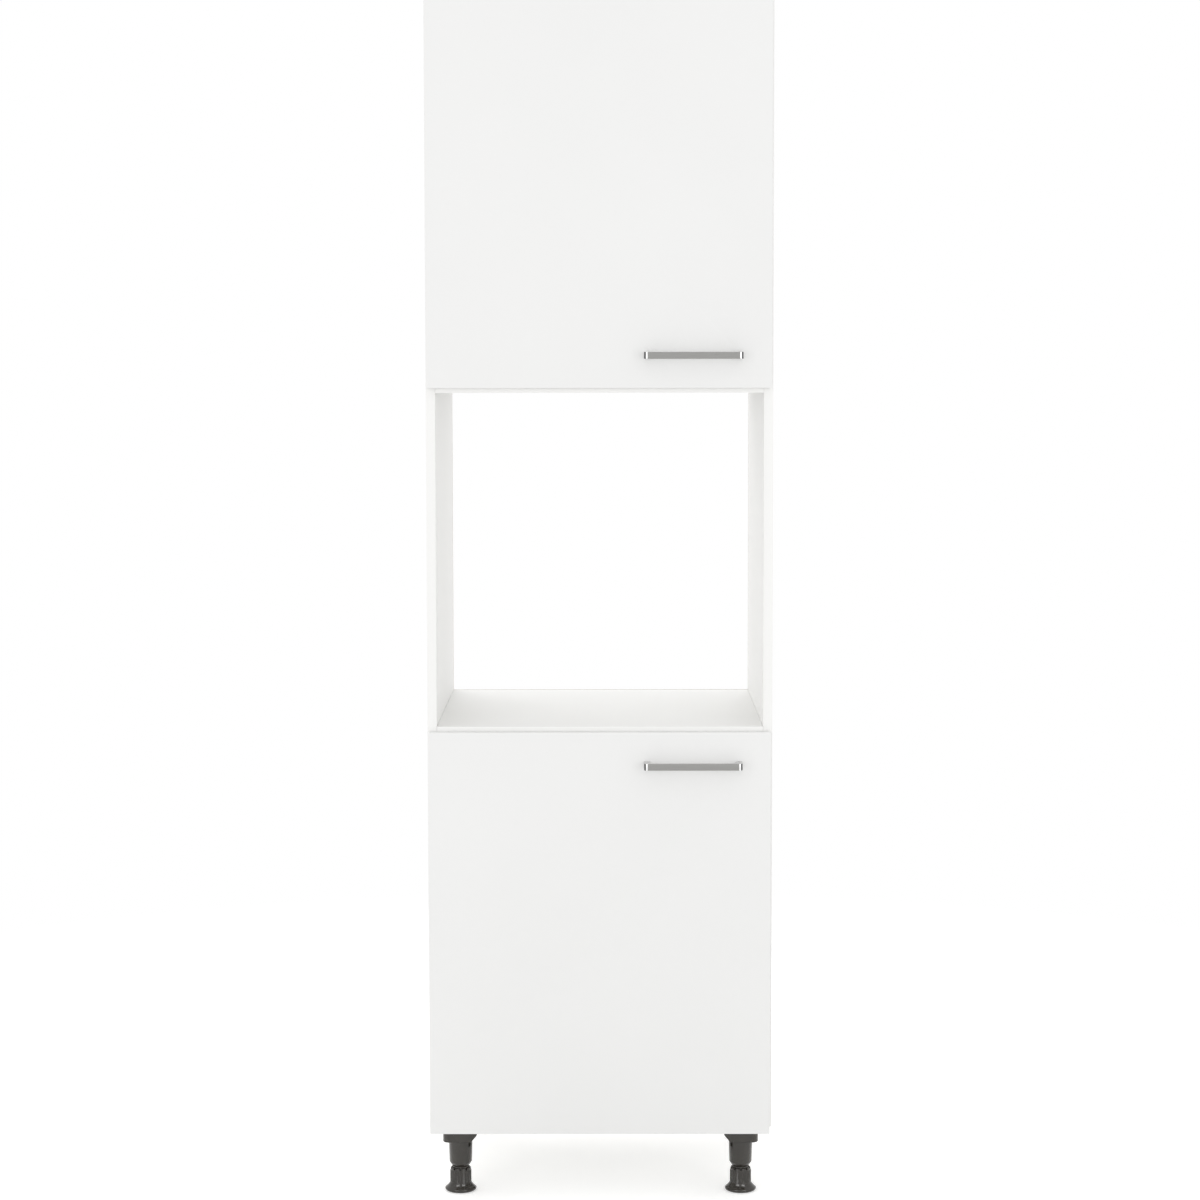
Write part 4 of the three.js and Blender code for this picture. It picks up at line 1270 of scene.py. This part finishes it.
# ---------------------------------------------------------------- cup hinges
@dataclass
class CupHinge:
    """A concealed two-link hinge, in plan places from the carcass's left front corner."""

    level: Level
    end: End
    arris: float = 0.5
    cup_radius: float = 17.5
    cup_depth: float = 12.7
    cup_wall: float = 1.0
    cup_floor: float = 0.7
    cup_rim: float = 0.3
    cup_facets: int = 72
    wing_edges: Span = (0.9, 18.1)  # across, from the cup's middle
    wing_half: float = 32.6
    wing_corner: float = 7.6
    wing_faces: Span = (0.2, 1.4)  # from the door's back
    wing_screw: Place = (9.5, 24.0)
    wing_hole: float = 2.2
    wing_head: float = 1.3
    stub_from: float = 4.8
    pin_radius: float = 1.5
    pin_end: float = 0.2
    eye_radius: float = 1.85
    outer_strap: float = 4.2
    outer_half: float = 7.2
    outer_gap: float = 5.2
    outer_barrel: float = 3.3
    outer_tip: float = 2.8
    inner_strap: float = 1.8
    inner_half: float = 4.0
    inner_barrel: float = 3.0
    inner_tip: float = 1.7
    arm_half: float = 9.8
    arm_wall: float = 1.6
    arm_slot: float = 2.6
    rail_half: float = 7.9
    plate_left: float = 16.3  # from the carcass's left face
    plate_thickness: float = 3.0
    plate_setback: float = 37.0
    plate_half: Place = (24.0, 7.5)
    plate_corner: float = 6.5
    plate_arris: float = 0.4
    plate_screw: float = 16.0
    plate_hole: float = 2.6
    plate_head: float = 19.2
    arm_screw: Place = (30.6, -49.5)

    OUTER_PIVOT: ClassVar[Place] = (36.0, -6.0)
    INNER_PIVOT: ClassVar[Place] = (22.8, -6.0)
    CUP_PIVOT: ClassVar[Place] = (11.5, 5.0)
    LINK_TIP: ClassVar[Place] = (9.2, 10.3)
    CUP_MIDDLE: ClassVar[float] = 22.0
    DOOR_BACK: ClassVar[float] = 2.0
    OUTER_BENDS: ClassVar[list[Place]] = [(0.11, -0.5), (0.33, 5.0), (0.69, 6.2)]
    INNER_BENDS: ClassVar[list[Place]] = [(-0.04, 0.0), (0.1, 6.0), (0.5, 8.4)]
    ARM_OUTLINE: ClassVar[list[Place]] = [
        (32.4, -62), (32.4, -28), (41.6, -16), (41.6, -7), (39.2, -2.6), (20.2, -2.6),
        (18.6, -5), (18.6, -9.2), (25, -17), (28, -62),
    ]
    ARM_INSIDE: ClassVar[list[Place]] = [
        (30.8, -63), (30.8, -28), (40, -16), (40, 0), (0, 0), (0, -63),
    ]
    ARM_SLOT: ClassVar[list[Place]] = [(29, -52), (34, -52), (34, -47), (29, -47)]
    RAIL: ClassVar[list[Place]] = [(16.3, -60), (30, -60), (30, -28), (24, -22), (16.3, -22)]

    def __post_init__(self) -> None:
        """Finds the hinge's height and the carcass's front corner in the frame."""
        low, high = node_box(f"hinge_plate_{self.level}_{self.end}")
        self.z = (low.z + high.z) / 2
        side_low, _ = node_box("side_panel_left")
        self.left = side_low.x
        self.front = side_low.y

    def plan(self, place: Place) -> Place:
        """Turns a plan place into x and y."""
        return (self.left + place[0], self.front - place[1])

    def rod(self, radius: float, place: Place, span: Span) -> Solid:
        """An upright round bar at a plan place.

        Args:
            radius: its radius.
            place: its plan place.
            span: its lowest and highest end, from the hinge's middle.

        Returns:
            The bar.
        """
        x, y = self.plan(place)
        middle = self.z + (span[0] + span[1]) / 2
        return Solid.rod(radius, (x, y, middle), span[1] - span[0], Axis.Z)

    def raised(self, outline: list[Place], span: Span) -> Solid:
        """A plan outline raised over a span of heights from the hinge's middle."""
        corners = [self.plan(place) for place in outline]
        return Solid.prism(corners, (self.z + span[0], self.z + span[1]))

    @staticmethod
    def strap(places: list[Place], width: float, steps: int = 24) -> list[Place]:
        """The outline of a strap of even width along a smooth curve.

        Args:
            places: what the curve passes through.
            width: the strap's width.
            steps: how many straights the curve has.

        Returns:
            The outline.
        """
        ends = [places[0], *places, places[-1]]
        centre: list[Vector] = []
        for i in range(steps + 1):
            along = i / steps * (len(places) - 1)
            k = min(int(along), len(places) - 2)
            t = along - k
            p = [Vector(ends[k + j]) for j in range(4)]
            centre.append(0.5 * (
                2 * p[1] + (p[2] - p[0]) * t + (2 * p[0] - 5 * p[1] + 4 * p[2] - p[3]) * t ** 2
                + (3 * p[1] - p[0] - 3 * p[2] + p[3]) * t ** 3
            ))
        left, right = [], []
        for i, at in enumerate(centre):
            way = (centre[min(i + 1, steps)] - centre[max(i - 1, 0)]).normalized()
            across = Vector((-way.y, way.x)) * width / 2
            left.append(tuple(at + across))
            right.insert(0, tuple(at - across))
        return left + right

    def link_path(self, start: Place, bends: list[Place], end: Place) -> list[Place]:
        """A link's centre line through its bends, as in the frame.

        Args:
            start: its pivot on the arm.
            bends: how far along it and how deep past the door's back each bend lies.
            end: its pivot or tip in the cup.

        Returns:
            The plan places that it passes through.
        """
        length = end[0] - start[0]
        bent = [(start[0] + share * length, self.DOOR_BACK + deep) for share, deep in bends]
        return [start, *bent, end]

    def build(self) -> None:
        """Builds and dresses the hinge's five pieces."""
        parts = (
            ("cup", self.cup(), f"{self.level}_door"),
            ("outer_link", self.outer_link(), f"{self.level}_outer_links"),
            ("inner_link", self.inner_link(), f"{self.level}_inner_links"),
            ("arm", self.arm(), "carcass"),
            ("plate", self.plate(), "carcass"),
        )
        for part, solid, body in parts:
            dress_node(f"hinge_{part}_{self.level}_{self.end}", solid, body, HINGE_FINISH)

    def outer_link(self) -> Solid:
        """The broad link: a barrel on the arm's pin and two cheeks that reach into the cup.

        Returns:
            The link's solid.
        """
        path = self.link_path(self.OUTER_PIVOT, self.OUTER_BENDS, self.CUP_PIVOT)
        outline = self.strap(path, self.outer_strap)
        half, gap, reach = self.outer_half, self.outer_gap, self.arm_half
        link = self.rod(self.outer_barrel, self.OUTER_PIVOT, (-half, half))
        for span in ((-half, -gap), (gap, half)):
            tip = self.rod(self.outer_tip, self.CUP_PIVOT, span)
            link = link.join(self.raised(outline, span), tip)
        return link.cut(
            self.rod(self.eye_radius, self.OUTER_PIVOT, (-reach, reach)),
            self.rod(self.eye_radius, self.CUP_PIVOT, (-reach, reach)),
        )

    def inner_link(self) -> Solid:
        """The narrow link, whose tip turns deep in the cup.

        Returns:
            The link's solid.
        """
        path = self.link_path(self.INNER_PIVOT, self.INNER_BENDS, self.LINK_TIP)
        half = self.inner_half
        link = self.raised(self.strap(path, self.inner_strap), (-half, half)).join(
            self.rod(self.inner_barrel, self.INNER_PIVOT, (-half, half)),
            self.rod(self.inner_tip, self.LINK_TIP, (-half, half)),
        )
        return link.cut(self.rod(self.eye_radius, self.INNER_PIVOT, (-half - PAST, half + PAST)))

    def arm(self) -> Solid:
        """The pressed arm, a channel over the plate's rail that rises to the links' pins.

        Returns:
            The arm's solid, with its two pins.
        """
        half, wall = self.arm_half, self.arm_wall
        channel = self.raised(self.ARM_OUTLINE, (-half, half)).softened(self.arris)
        channel = channel.cut(self.raised(self.ARM_INSIDE, (wall - half, half - wall)))
        span = (-half - self.pin_end, half + self.pin_end)
        pivots = (self.OUTER_PIVOT, self.INNER_PIVOT)
        pins = [self.rod(self.pin_radius, pivot, span) for pivot in pivots]
        slot = self.raised(self.ARM_SLOT, (-self.arm_slot, self.arm_slot))
        return channel.cut(slot).join(*pins)

    def cup(self) -> Solid:
        """The cup with its two screw wings and the stub pins for the outer link.

        Returns:
            The cup's solid.
        """
        x, _ = self.plan((self.CUP_MIDDLE, 0))
        back = self.front - self.DOOR_BACK
        bottom, rim = back - self.cup_depth, back + self.cup_rim
        floor, radius, wall = bottom + self.cup_floor, self.cup_radius, self.cup_wall
        (left, right), (low, high) = self.wing_edges, self.wing_faces
        wings = Solid.prism(
            rounded_rectangle(
                (x + left, -(self.z + self.wing_half)), (x + right, -(self.z - self.wing_half)),
                self.wing_corner, 8,
            ),
            (back + low, back + high), Axis.Y,
        )
        shell = Solid.turned([
            (0, bottom), (radius - 1.2, bottom), (radius - 0.3, bottom + 0.3),
            (radius, bottom + 1.2), (radius, rim - 0.1), (radius - 0.1, rim), (0, rim),
        ], self.cup_facets, Axis.Y).moved(x, 0, self.z)
        inside = Solid.turned([
            (0, floor), (radius - wall - 1.0, floor), (radius - wall, bottom + 1.7),
            (radius - wall, back + 3), (0, back + 3),
        ], self.cup_facets, Axis.Y).moved(x, 0, self.z)
        across, up = self.wing_screw
        holes = [
            Solid.rod(self.wing_hole, (x + across, back, self.z + side.value * up), 6, Axis.Y, 24)
            for side in Side
        ]
        cup = shell.join(wings).cut(inside, *holes)
        middle = (x, (bottom + rim) / 2, self.z)
        outer = Solid.rod(radius - wall / 2, middle, self.cup_depth, Axis.Y, self.cup_facets)
        for span in ((-radius, -self.stub_from), (self.stub_from, radius)):
            cup = cup.join(self.rod(self.pin_radius, self.CUP_PIVOT, span).common(outer))
        return cup

    def plate(self) -> Solid:
        """The mounting plate: two screw wings on the side panel and the arm's rail.

        Returns:
            The plate's solid.
        """
        left = self.left + self.plate_left
        y = self.front + self.plate_setback
        tall, deep = self.plate_half
        wing = Solid.prism(
            rounded_rectangle(
                (-(self.z + tall), y - deep), (-(self.z - tall), y + deep), self.plate_corner, 8
            ),
            (left, left + self.plate_thickness), Axis.X,
        ).softened(self.plate_arris)
        rail = self.raised(self.RAIL, (-self.rail_half, self.rail_half)).softened(self.arris)
        holes = [
            Solid.rod(
                self.plate_hole, (left, y, self.z + side.value * self.plate_screw), 12, Axis.X, 24
            )
            for side in Side
        ]
        return wing.join(rail).cut(*holes)

    def screw_seats(self) -> dict[str, list[Seat]]:
        """Where the hinge's screws sit.

        Returns:
            Each body's list of head middles and the ways they face.
        """
        x, _ = self.plan((self.CUP_MIDDLE, 0))
        across, up = self.wing_screw
        y = self.front - self.DOOR_BACK + self.wing_head
        door = [((x + across, y, self.z + side.value * up), REARWARD) for side in Side]
        x, y = self.left + self.plate_head, self.front + self.plate_setback
        carcass = [((x, y, self.z + side.value * self.plate_screw), RIGHTWARD) for side in Side]
        carcass.append(((*self.plan(self.arm_screw), self.z), RIGHTWARD))
        return {f"{self.level}_door": door, "carcass": carcass}


# ---------------------------------------------------------------- legs
@dataclass
class AdjustableLeg:
    """A moulded leg: a socket under the bottom panel and a foot that screws into it."""

    row: Row
    side: Side
    facets: int = 96
    foot_height: float = 42.0
    ribs: int = 28
    rib_ring: float = 17.85
    rib_radius: float = 1.05
    rib_ends: Span = (15.6, 36.6)
    teeth: int = 10
    tooth_gap: float = 1.5
    tooth_depth: float = 3.2
    tooth_reach: Span = (14.2, 20.0)
    under_panel: float = 130.0
    head_height: float = 38.0
    head_width: float = 61.0
    head_depth: float = 54.0
    head_corner: float = 12.0
    head_slope: float = 13.0
    head_arris: float = 1.2
    clearance: float = 0.3
    tube_radius: float = 21.2
    tube_top: float = 126.0
    flange_half: float = 42.0
    flange_corner: float = 6.0
    flange_height: float = 5.0
    flange_arris: float = 0.6
    slot_turn: float = 52.0
    slot_half: float = 3.0
    slot_reach: Span = (-24.2, -18.2)
    slot_drop: Span = (10.5, 3.5)
    bore_radius: float = 10.4
    bore_middle: float = 62.6
    bore_length: float = 71.4
    screw_place: Place = (19.0, 36.0)
    screw_height: float = 124.8

    PAD: ClassVar[list[Place]] = [(0, 0), (22, 0), (24.6, 0.4), (26.4, 1.4), (27.6, 2.8)]
    FLARE: ClassVar[list[Place]] = [
        (27.9, 4.4), (27.6, 5.4), (26.8, 6.3), (25.0, 7.8), (22.8, 9.9), (20.9, 12.3),
        (19.3, 14.8), (18.3, 17.0),
    ]
    STUD: ClassVar[list[Place]] = [(10, 20), (10, 97), (9.2, 98), (0, 98)]
    TUBE_FOOT: ClassVar[list[Place]] = [
        (0, 28), (13.6, 28), (14.3, 28.7), (14.3, 44.4), (19.3, 51.4), (20, 53),
    ]

    def __post_init__(self) -> None:
        """Finds the leg's axis in the frame."""
        low, high = node_box(f"leg_foot_{self.row}_{self.side.word}")
        self.x, self.y = (low.x + high.x) / 2, (low.y + high.y) / 2

    def build(self, ribs: GeometryTree) -> None:
        """Builds and dresses the socket and the foot.

        Args:
            ribs: the tree that makes the ribs of the foot's sleeve.
        """
        place = f"{self.row}_{self.side.word}"
        foot = self.foot(ribs).moved(self.x, self.y, 0)
        socket = self.socket().moved(self.x, self.y, 0)
        dress_node(f"leg_foot_{place}", foot, f"foot_{place}", LEG_FINISH)
        dress_node(f"leg_socket_{place}", socket, "carcass", LEG_FINISH)

    def foot(self, ribs: GeometryTree) -> Solid:
        """The foot: pad, hollow flare, ribbed sleeve with a toothed rim, and the stud.

        Args:
            ribs: the tree that makes its ribs.

        Returns:
            The foot's solid, on the Z axis.
        """
        height = self.foot_height
        rim = [(18, height - 2), (17.6, height - 0.8), (16.6, height), (15.2, height), (15.2, 20)]
        body = Solid.turned([*self.PAD, *self.FLARE, *rim, *self.STUD], self.facets)
        low, high = self.rib_ends
        band = ribs.run(bpy.data.meshes.new("ribs"), {
            "Count": self.ribs, "Ring Radius": self.rib_ring, "Rib Radius": self.rib_radius,
            "Low": low, "High": high, "Finish": LEG_FINISH.material(),
        })
        (inner, outer), half = self.tooth_reach, self.tooth_gap
        floor = height - self.tooth_depth
        gaps = []
        for i in range(self.teeth):
            gap = Solid.block((inner, -half, floor), (outer, half, height + 2 * PAST))
            gaps.append(gap.spun(360 * (i + 0.5) / self.teeth))
        return body.join(band).cut(*gaps)

    def socket(self) -> Solid:
        """The socket: tapered tube, square head, screw flange and clip slot.

        Returns:
            The socket's solid, on the Z axis.
        """
        top = self.under_panel - self.clearance
        low = self.under_panel - self.head_height
        radius = self.tube_radius
        profile = [*self.TUBE_FOOT, (radius, low + 2), (radius, self.tube_top), (0, self.tube_top)]
        tube = Solid.turned(profile, self.facets)
        width, depth = self.head_width / 2, self.head_depth / 2
        outline = rounded_rectangle((-width, -depth), (width, depth), self.head_corner, 10)
        head = Solid.prism(outline, (low, top))
        inward = -self.side.value
        edge, lowest = inward * (width + PAST), -(low - PAST)
        sloping = self.head_slope
        wedge = [(edge, lowest), (edge, -(low + sloping)), (inward * (width - sloping), lowest)]
        slope = Solid.prism(wedge, (-depth - PAST, depth + PAST), Axis.Y)
        head = head.cut(slope).softened(self.head_arris, 3)
        half = self.flange_half
        outline = rounded_rectangle((-width, -half), (width, half), self.flange_corner, 6)
        flange = Solid.prism(outline, (top - self.flange_height, top))
        flange = flange.softened(self.flange_arris)
        half, (outer, inner), (lower, upper) = self.slot_half, self.slot_reach, self.slot_drop
        slot = Solid.block((-half, outer, low - lower), (half, inner, low - upper))
        slot = slot.spun(inward * self.slot_turn)
        centre = (0, 0, self.bore_middle)
        bore = Solid.rod(self.bore_radius, centre, self.bore_length, Axis.Z, 64)
        return tube.join(head, flange).cut(bore, slot)

    def screw_seats(self) -> list[Seat]:
        """Where the flange's four screws sit.

        Returns:
            Each screw's middle and the way it faces.
        """
        across, deep = self.screw_place
        places = [(x * across, y * deep) for x in (-1, 1) for y in (-1, 1)]
        return [((self.x + x, self.y + y, self.screw_height), DOWNWARD) for x, y in places]


# ---------------------------------------------------------------- small fittings
@dataclass
class Fittings:
    """Shelf pins, door bumpers, handle screws and wall brackets."""

    inner_x: float = 284.0
    pin_radius: float = 2.5
    pin_arris: float = 0.4
    collar_radius: float = 4.5
    collar_width: float = 1.5
    collar_from_side: float = 1.05
    head_radius: float = 4.2
    head_height: float = 2.4
    shank_radius: float = 2.0
    recess_length: float = 2.3
    recess_width: float = 0.45
    recess_depth: float = 1.1
    sheet: float = 2.0
    outer_bend: float = 0.6
    inner_bend: float = 3.0
    board_hole: float = 2.2
    hole_length: float = 10.0
    facets: int = 32
    hole_facets: int = 24

    DOME: ClassVar[list[Place]] = [(0, 0), (1, 0), (1, 0.35), (0.9, 0.7), (0.6, 0.93), (0, 1)]

    def build(self) -> None:
        """Builds and dresses every small fitting."""
        for level in Level:
            for end in End:
                self.bumper(f"{level}_bumper_{end}", f"{level}_door")
            for side in Side:
                self.handle_screw(f"{level}_handle_screw_{side.word}", f"{level}_door")
                for row in Row:
                    self.shelf_pin(f"shelf_pin_{level}_{side.word}_{row}", side)
        for side in Side:
            self.wall_bracket(f"wall_bracket_{side.word}")

    def bumper(self, node: str, body: str) -> None:
        """Builds a low soft dome on the door's back.

        Args:
            node: the CAD node.
            body: the door that carries it.
        """
        low, high = node_box(node)
        middle = (low + high) / 2
        radius, height = (high.x - low.x) / 2, high.y - low.y
        profile = [(radius * out, height * up) for out, up in self.DOME]
        dome = Solid.turned(profile, self.facets, Axis.Y).moved(middle.x, low.y, middle.z)
        dress_node(node, dome, body, BUMPER_FINISH)

    def handle_screw(self, node: str, body: str) -> None:
        """Builds a pan-head machine screw with a cross recess.

        Args:
            node: the CAD node.
            body: the door that carries it.
        """
        low, high = node_box(node)
        middle = (low + high) / 2
        shank, head, under = self.shank_radius, self.head_radius, high.y - self.head_height
        screw = Solid.turned([
            (0, low.y), (1.6, low.y), (shank, low.y + 0.5), (shank, under), (head, under),
            (head, high.y - 1.4), (3.7, high.y - 0.6), (2.4, high.y), (0, high.y),
        ], 40, Axis.Y).moved(middle.x, 0, middle.z)
        long, short = self.recess_length, self.recess_width
        bars = [
            Solid.block(
                (middle.x - x, high.y - self.recess_depth, middle.z - z),
                (middle.x + x, high.y + PAST, middle.z + z),
            )
            for x, z in ((long, short), (short, long))
        ]
        dress_node(node, screw.cut(*bars), body, FITTING_FINISH)

    def shelf_pin(self, node: str, side: Side) -> None:
        """Builds a round pin with a half collar against the side panel.

        Args:
            node: the CAD node.
            side: the side panel that it sits in.
        """
        low, high = node_box(node)
        y, z = (low.y + high.y) / 2, high.z - self.pin_radius
        centre = ((low.x + high.x) / 2, y, z)
        pin = Solid.rod(self.pin_radius, centre, high.x - low.x, Axis.X, self.facets)
        pin = pin.softened(self.pin_arris)
        x = self.inner_x * side.value - side.value * self.collar_from_side
        disc = Solid.rod(self.collar_radius, (x, y, z), self.collar_width, Axis.X, self.facets)
        half = Solid.block((x - 2, y - 5, z - 5), (x + 2, y + 5, z))
        dress_node(node, pin.join(disc.common(half)), "carcass", FITTING_FINISH)

    def wall_bracket(self, node: str) -> None:
        """Builds a bent steel angle with its wall-screw hole.

        Args:
            node: the CAD node.
        """
        low, high = node_box(node)
        middle = (low.x + high.x) / 2
        top, back = -high.z, high.y
        sheet, outer, inner = self.sheet, self.outer_bend, self.inner_bend
        outline = [
            (top, low.y), (top, back - outer), (top + outer, back), (-low.z, back),
            (-low.z, back - sheet), (top + inner, back - sheet), (top + sheet, back - inner),
            (top + sheet, low.y),
        ]
        angle = Solid.prism(outline, (low.x, high.x), Axis.X)
        centre = (middle, high.y, high.z - WALL_HOLE_DROP)
        length, facets = self.hole_length, self.hole_facets
        wall_hole = Solid.rod(WALL_HOLE_RADIUS, centre, length, Axis.Y, facets)
        centre = (middle, high.y - WALL_HOLE_DROP, high.z)
        board_hole = Solid.rod(self.board_hole, centre, length, Axis.Z, facets)
        dress_node(node, angle.cut(wall_hole, board_hole), "carcass", FITTING_FINISH)


# ---------------------------------------------------------------- studio
@dataclass
class Lamp:
    """A softbox aimed at a place."""

    name: str
    place: Point
    aim: Point
    size: Place
    watts: float
    mirrored: bool = True
    lighting: bool = True

    def build(self) -> None:
        """Hangs the lamp."""
        data = bpy.data.lights.new(self.name, "AREA")
        data.shape = "RECTANGLE"
        data.size, data.size_y = self.size
        data.energy = self.watts
        obj = bpy.data.objects.new(self.name, data)
        obj.visible_glossy = self.mirrored
        obj.visible_diffuse = self.lighting
        obj.location = self.place
        way = Vector(self.aim) - Vector(self.place)
        obj.rotation_euler = way.to_track_quat("-Z", "Y").to_euler()
        bpy.context.scene.collection.objects.link(obj)


SIDE_AIM: Point = (0.0, -0.3, 1.1)
HIGH_AIM: Point = (0.0, 0.0, 0.9)
BACK_AIM: Point = (0.0, 0.0, 1.1)
LAMPS = (
    Lamp("left_softbox", (-2.8, -4.2, 1.4), SIDE_AIM, (0.8, 2.4), 15.5),
    Lamp("right_softbox", (2.8, -4.2, 1.4), SIDE_AIM, (0.8, 2.4), 15.5),
    Lamp("left_overhead", (-3.0, -4.6, 6.0), HIGH_AIM, (3.6, 1.8), 87.0, lighting=False),
    Lamp("right_overhead", (3.0, -4.6, 6.0), HIGH_AIM, (3.6, 1.8), 87.0, lighting=False),
    Lamp("back_softbox", (-0.5, 2.6, 2.0), BACK_AIM, (3.2, 1.4), 36.0, mirrored=False),
)
WHITE = shade((1.0, 1.0, 1.0))


@dataclass
class Studio:
    """Camera, lamps, pale floor and white background."""

    camera_place: Point = (0.01488, -5.2035, 1.49385)
    pitch: float = 0.0728
    yaw: float = 0.0028
    roll: float = 0.00131
    lens: float = 85.941
    sensor: float = 36.0
    rise: float = -0.035
    ambient: float = 0.90
    floor_size: float = 12.0
    floor_paint: Colour = (0.86, 0.86, 0.85)
    floor_dimming: float = 0.45
    fades_from: float = 0.9
    fades_to: float = 2.6

    def build(self) -> None:
        """Builds the studio."""
        bpy.context.scene.view_settings.view_transform = "Standard"
        self.camera()
        self.world()
        self.floor()
        for lamp in LAMPS:
            lamp.build()

    def camera(self) -> None:
        """Sets the camera at the photograph's place."""
        data = bpy.data.cameras.new("camera")
        data.lens = self.lens
        data.sensor_width = self.sensor
        data.shift_y = self.rise
        obj = bpy.data.objects.new("camera", data)
        obj.location = self.camera_place
        obj.rotation_euler = (math.pi / 2 - self.pitch, self.roll, self.yaw)
        bpy.context.scene.collection.objects.link(obj)
        bpy.context.scene.camera = obj

    @staticmethod
    def seen(tree: NodeTree) -> Socket:
        """Tells the rays that look from those that light.

        Args:
            tree: the world's or the material's tree.

        Returns:
            1 for camera, glossy and transmission rays, and 0 for others.
        """
        path = tree.add("ShaderNodeLightPath").outputs
        direct = tree.maths("MAXIMUM", path["Is Camera Ray"], path["Is Glossy Ray"])
        return tree.maths("MAXIMUM", direct, path["Is Transmission Ray"])

    def world(self) -> None:
        """White to look at, and an even pale light on the object."""
        world = bpy.data.worlds.new("studio")
        world.use_nodes = True
        bpy.context.scene.world = world
        tree = NodeTree(world.node_tree)
        light = tree.add("ShaderNodeBackground", {"Color": WHITE, "Strength": self.ambient})
        white = tree.add("ShaderNodeBackground", {"Color": WHITE, "Strength": 1.0})
        mixed = tree.add("ShaderNodeMixShader", {
            0: self.seen(tree), 1: light.outputs[0], 2: white.outputs[0],
        })
        tree.add("ShaderNodeOutputWorld", {"Surface": mixed.outputs[0]})

    def floor(self) -> None:
        """A pale floor that keeps the unit's shadow and fades into the white background."""
        material = bpy.data.materials.new("pale_floor")
        material.use_nodes = True
        tree = NodeTree(material.node_tree)
        where = tree.add("ShaderNodeTexCoord").outputs["Object"]
        distance = tree.add("ShaderNodeVectorMath", {0: where}, operation="LENGTH").outputs["Value"]
        far = tree.ramp(distance, self.fades_from, self.fades_to)
        paint = tree.add("ShaderNodeBsdfDiffuse", {"Color": shade(self.floor_paint)})
        glow = tree.add("ShaderNodeEmission", {"Color": WHITE, "Strength": self.seen(tree)})
        dim = tree.add("ShaderNodeMixShader", {0: self.floor_dimming, 2: glow.outputs[0]})
        lit = tree.add("ShaderNodeAddShader", {0: paint.outputs[0], 1: dim.outputs[0]})
        clear = tree.add("ShaderNodeBsdfTransparent")
        faded = tree.add("ShaderNodeMixShader", {0: far, 1: lit.outputs[0], 2: clear.outputs[0]})
        tree.add("ShaderNodeOutputMaterial", {"Surface": faded.outputs[0]})
        shape = bmesh.new()
        bmesh.ops.create_grid(shape, x_segments=1, y_segments=1, size=self.floor_size / 2)
        mesh = bpy.data.meshes.new("floor")
        shape.to_mesh(mesh)
        shape.free()
        mesh.materials.append(material)
        floor = bpy.data.objects.new("floor", mesh)
        bpy.context.scene.collection.objects.link(floor)


def main() -> None:
    """Builds the unit's looks in order."""
    logging.basicConfig(level=logging.INFO, format="%(name)s: %(message)s")
    Studio().build()
    carcass = Carcass()
    carcass.build()
    for level in Level:
        SlabDoor(level).build()
        BowHandle(level).build()
    screws = screw_tree()
    ScrewSet(
        "panel_cams", "carcass", FITTING_FINISH,
        head_radius=carcass.cam_radius, head_height=0.3, sink=2.0, recess=1.4,
    ).build(screws, carcass.cam_seats())
    seats: dict[str, list[Seat]] = {}
    for level in Level:
        for end in End:
            hinge = CupHinge(level, end)
            hinge.build()
            for body, places in hinge.screw_seats().items():
                seats.setdefault(body, []).extend(places)
    for body, places in seats.items():
        ScrewSet(
            f"hinge_screws_{body}", body, HINGE_FINISH,
            head_radius=3.6, head_height=1.3, sink=0.6, recess=1.0,
        ).build(screws, places)
    ribs = rib_tree()
    leg_seats: list[Seat] = []
    for row in Row:
        for side in Side:
            leg = AdjustableLeg(row, side)
            leg.build(ribs)
            leg_seats += leg.screw_seats()
    ScrewSet(
        "leg_screws", "carcass", FITTING_FINISH,
        head_radius=3.8, head_height=1.5, sink=1.0, recess=1.2,
    ).build(screws, leg_seats)
    Fittings().build()


if __name__ == "__main__":
    main()
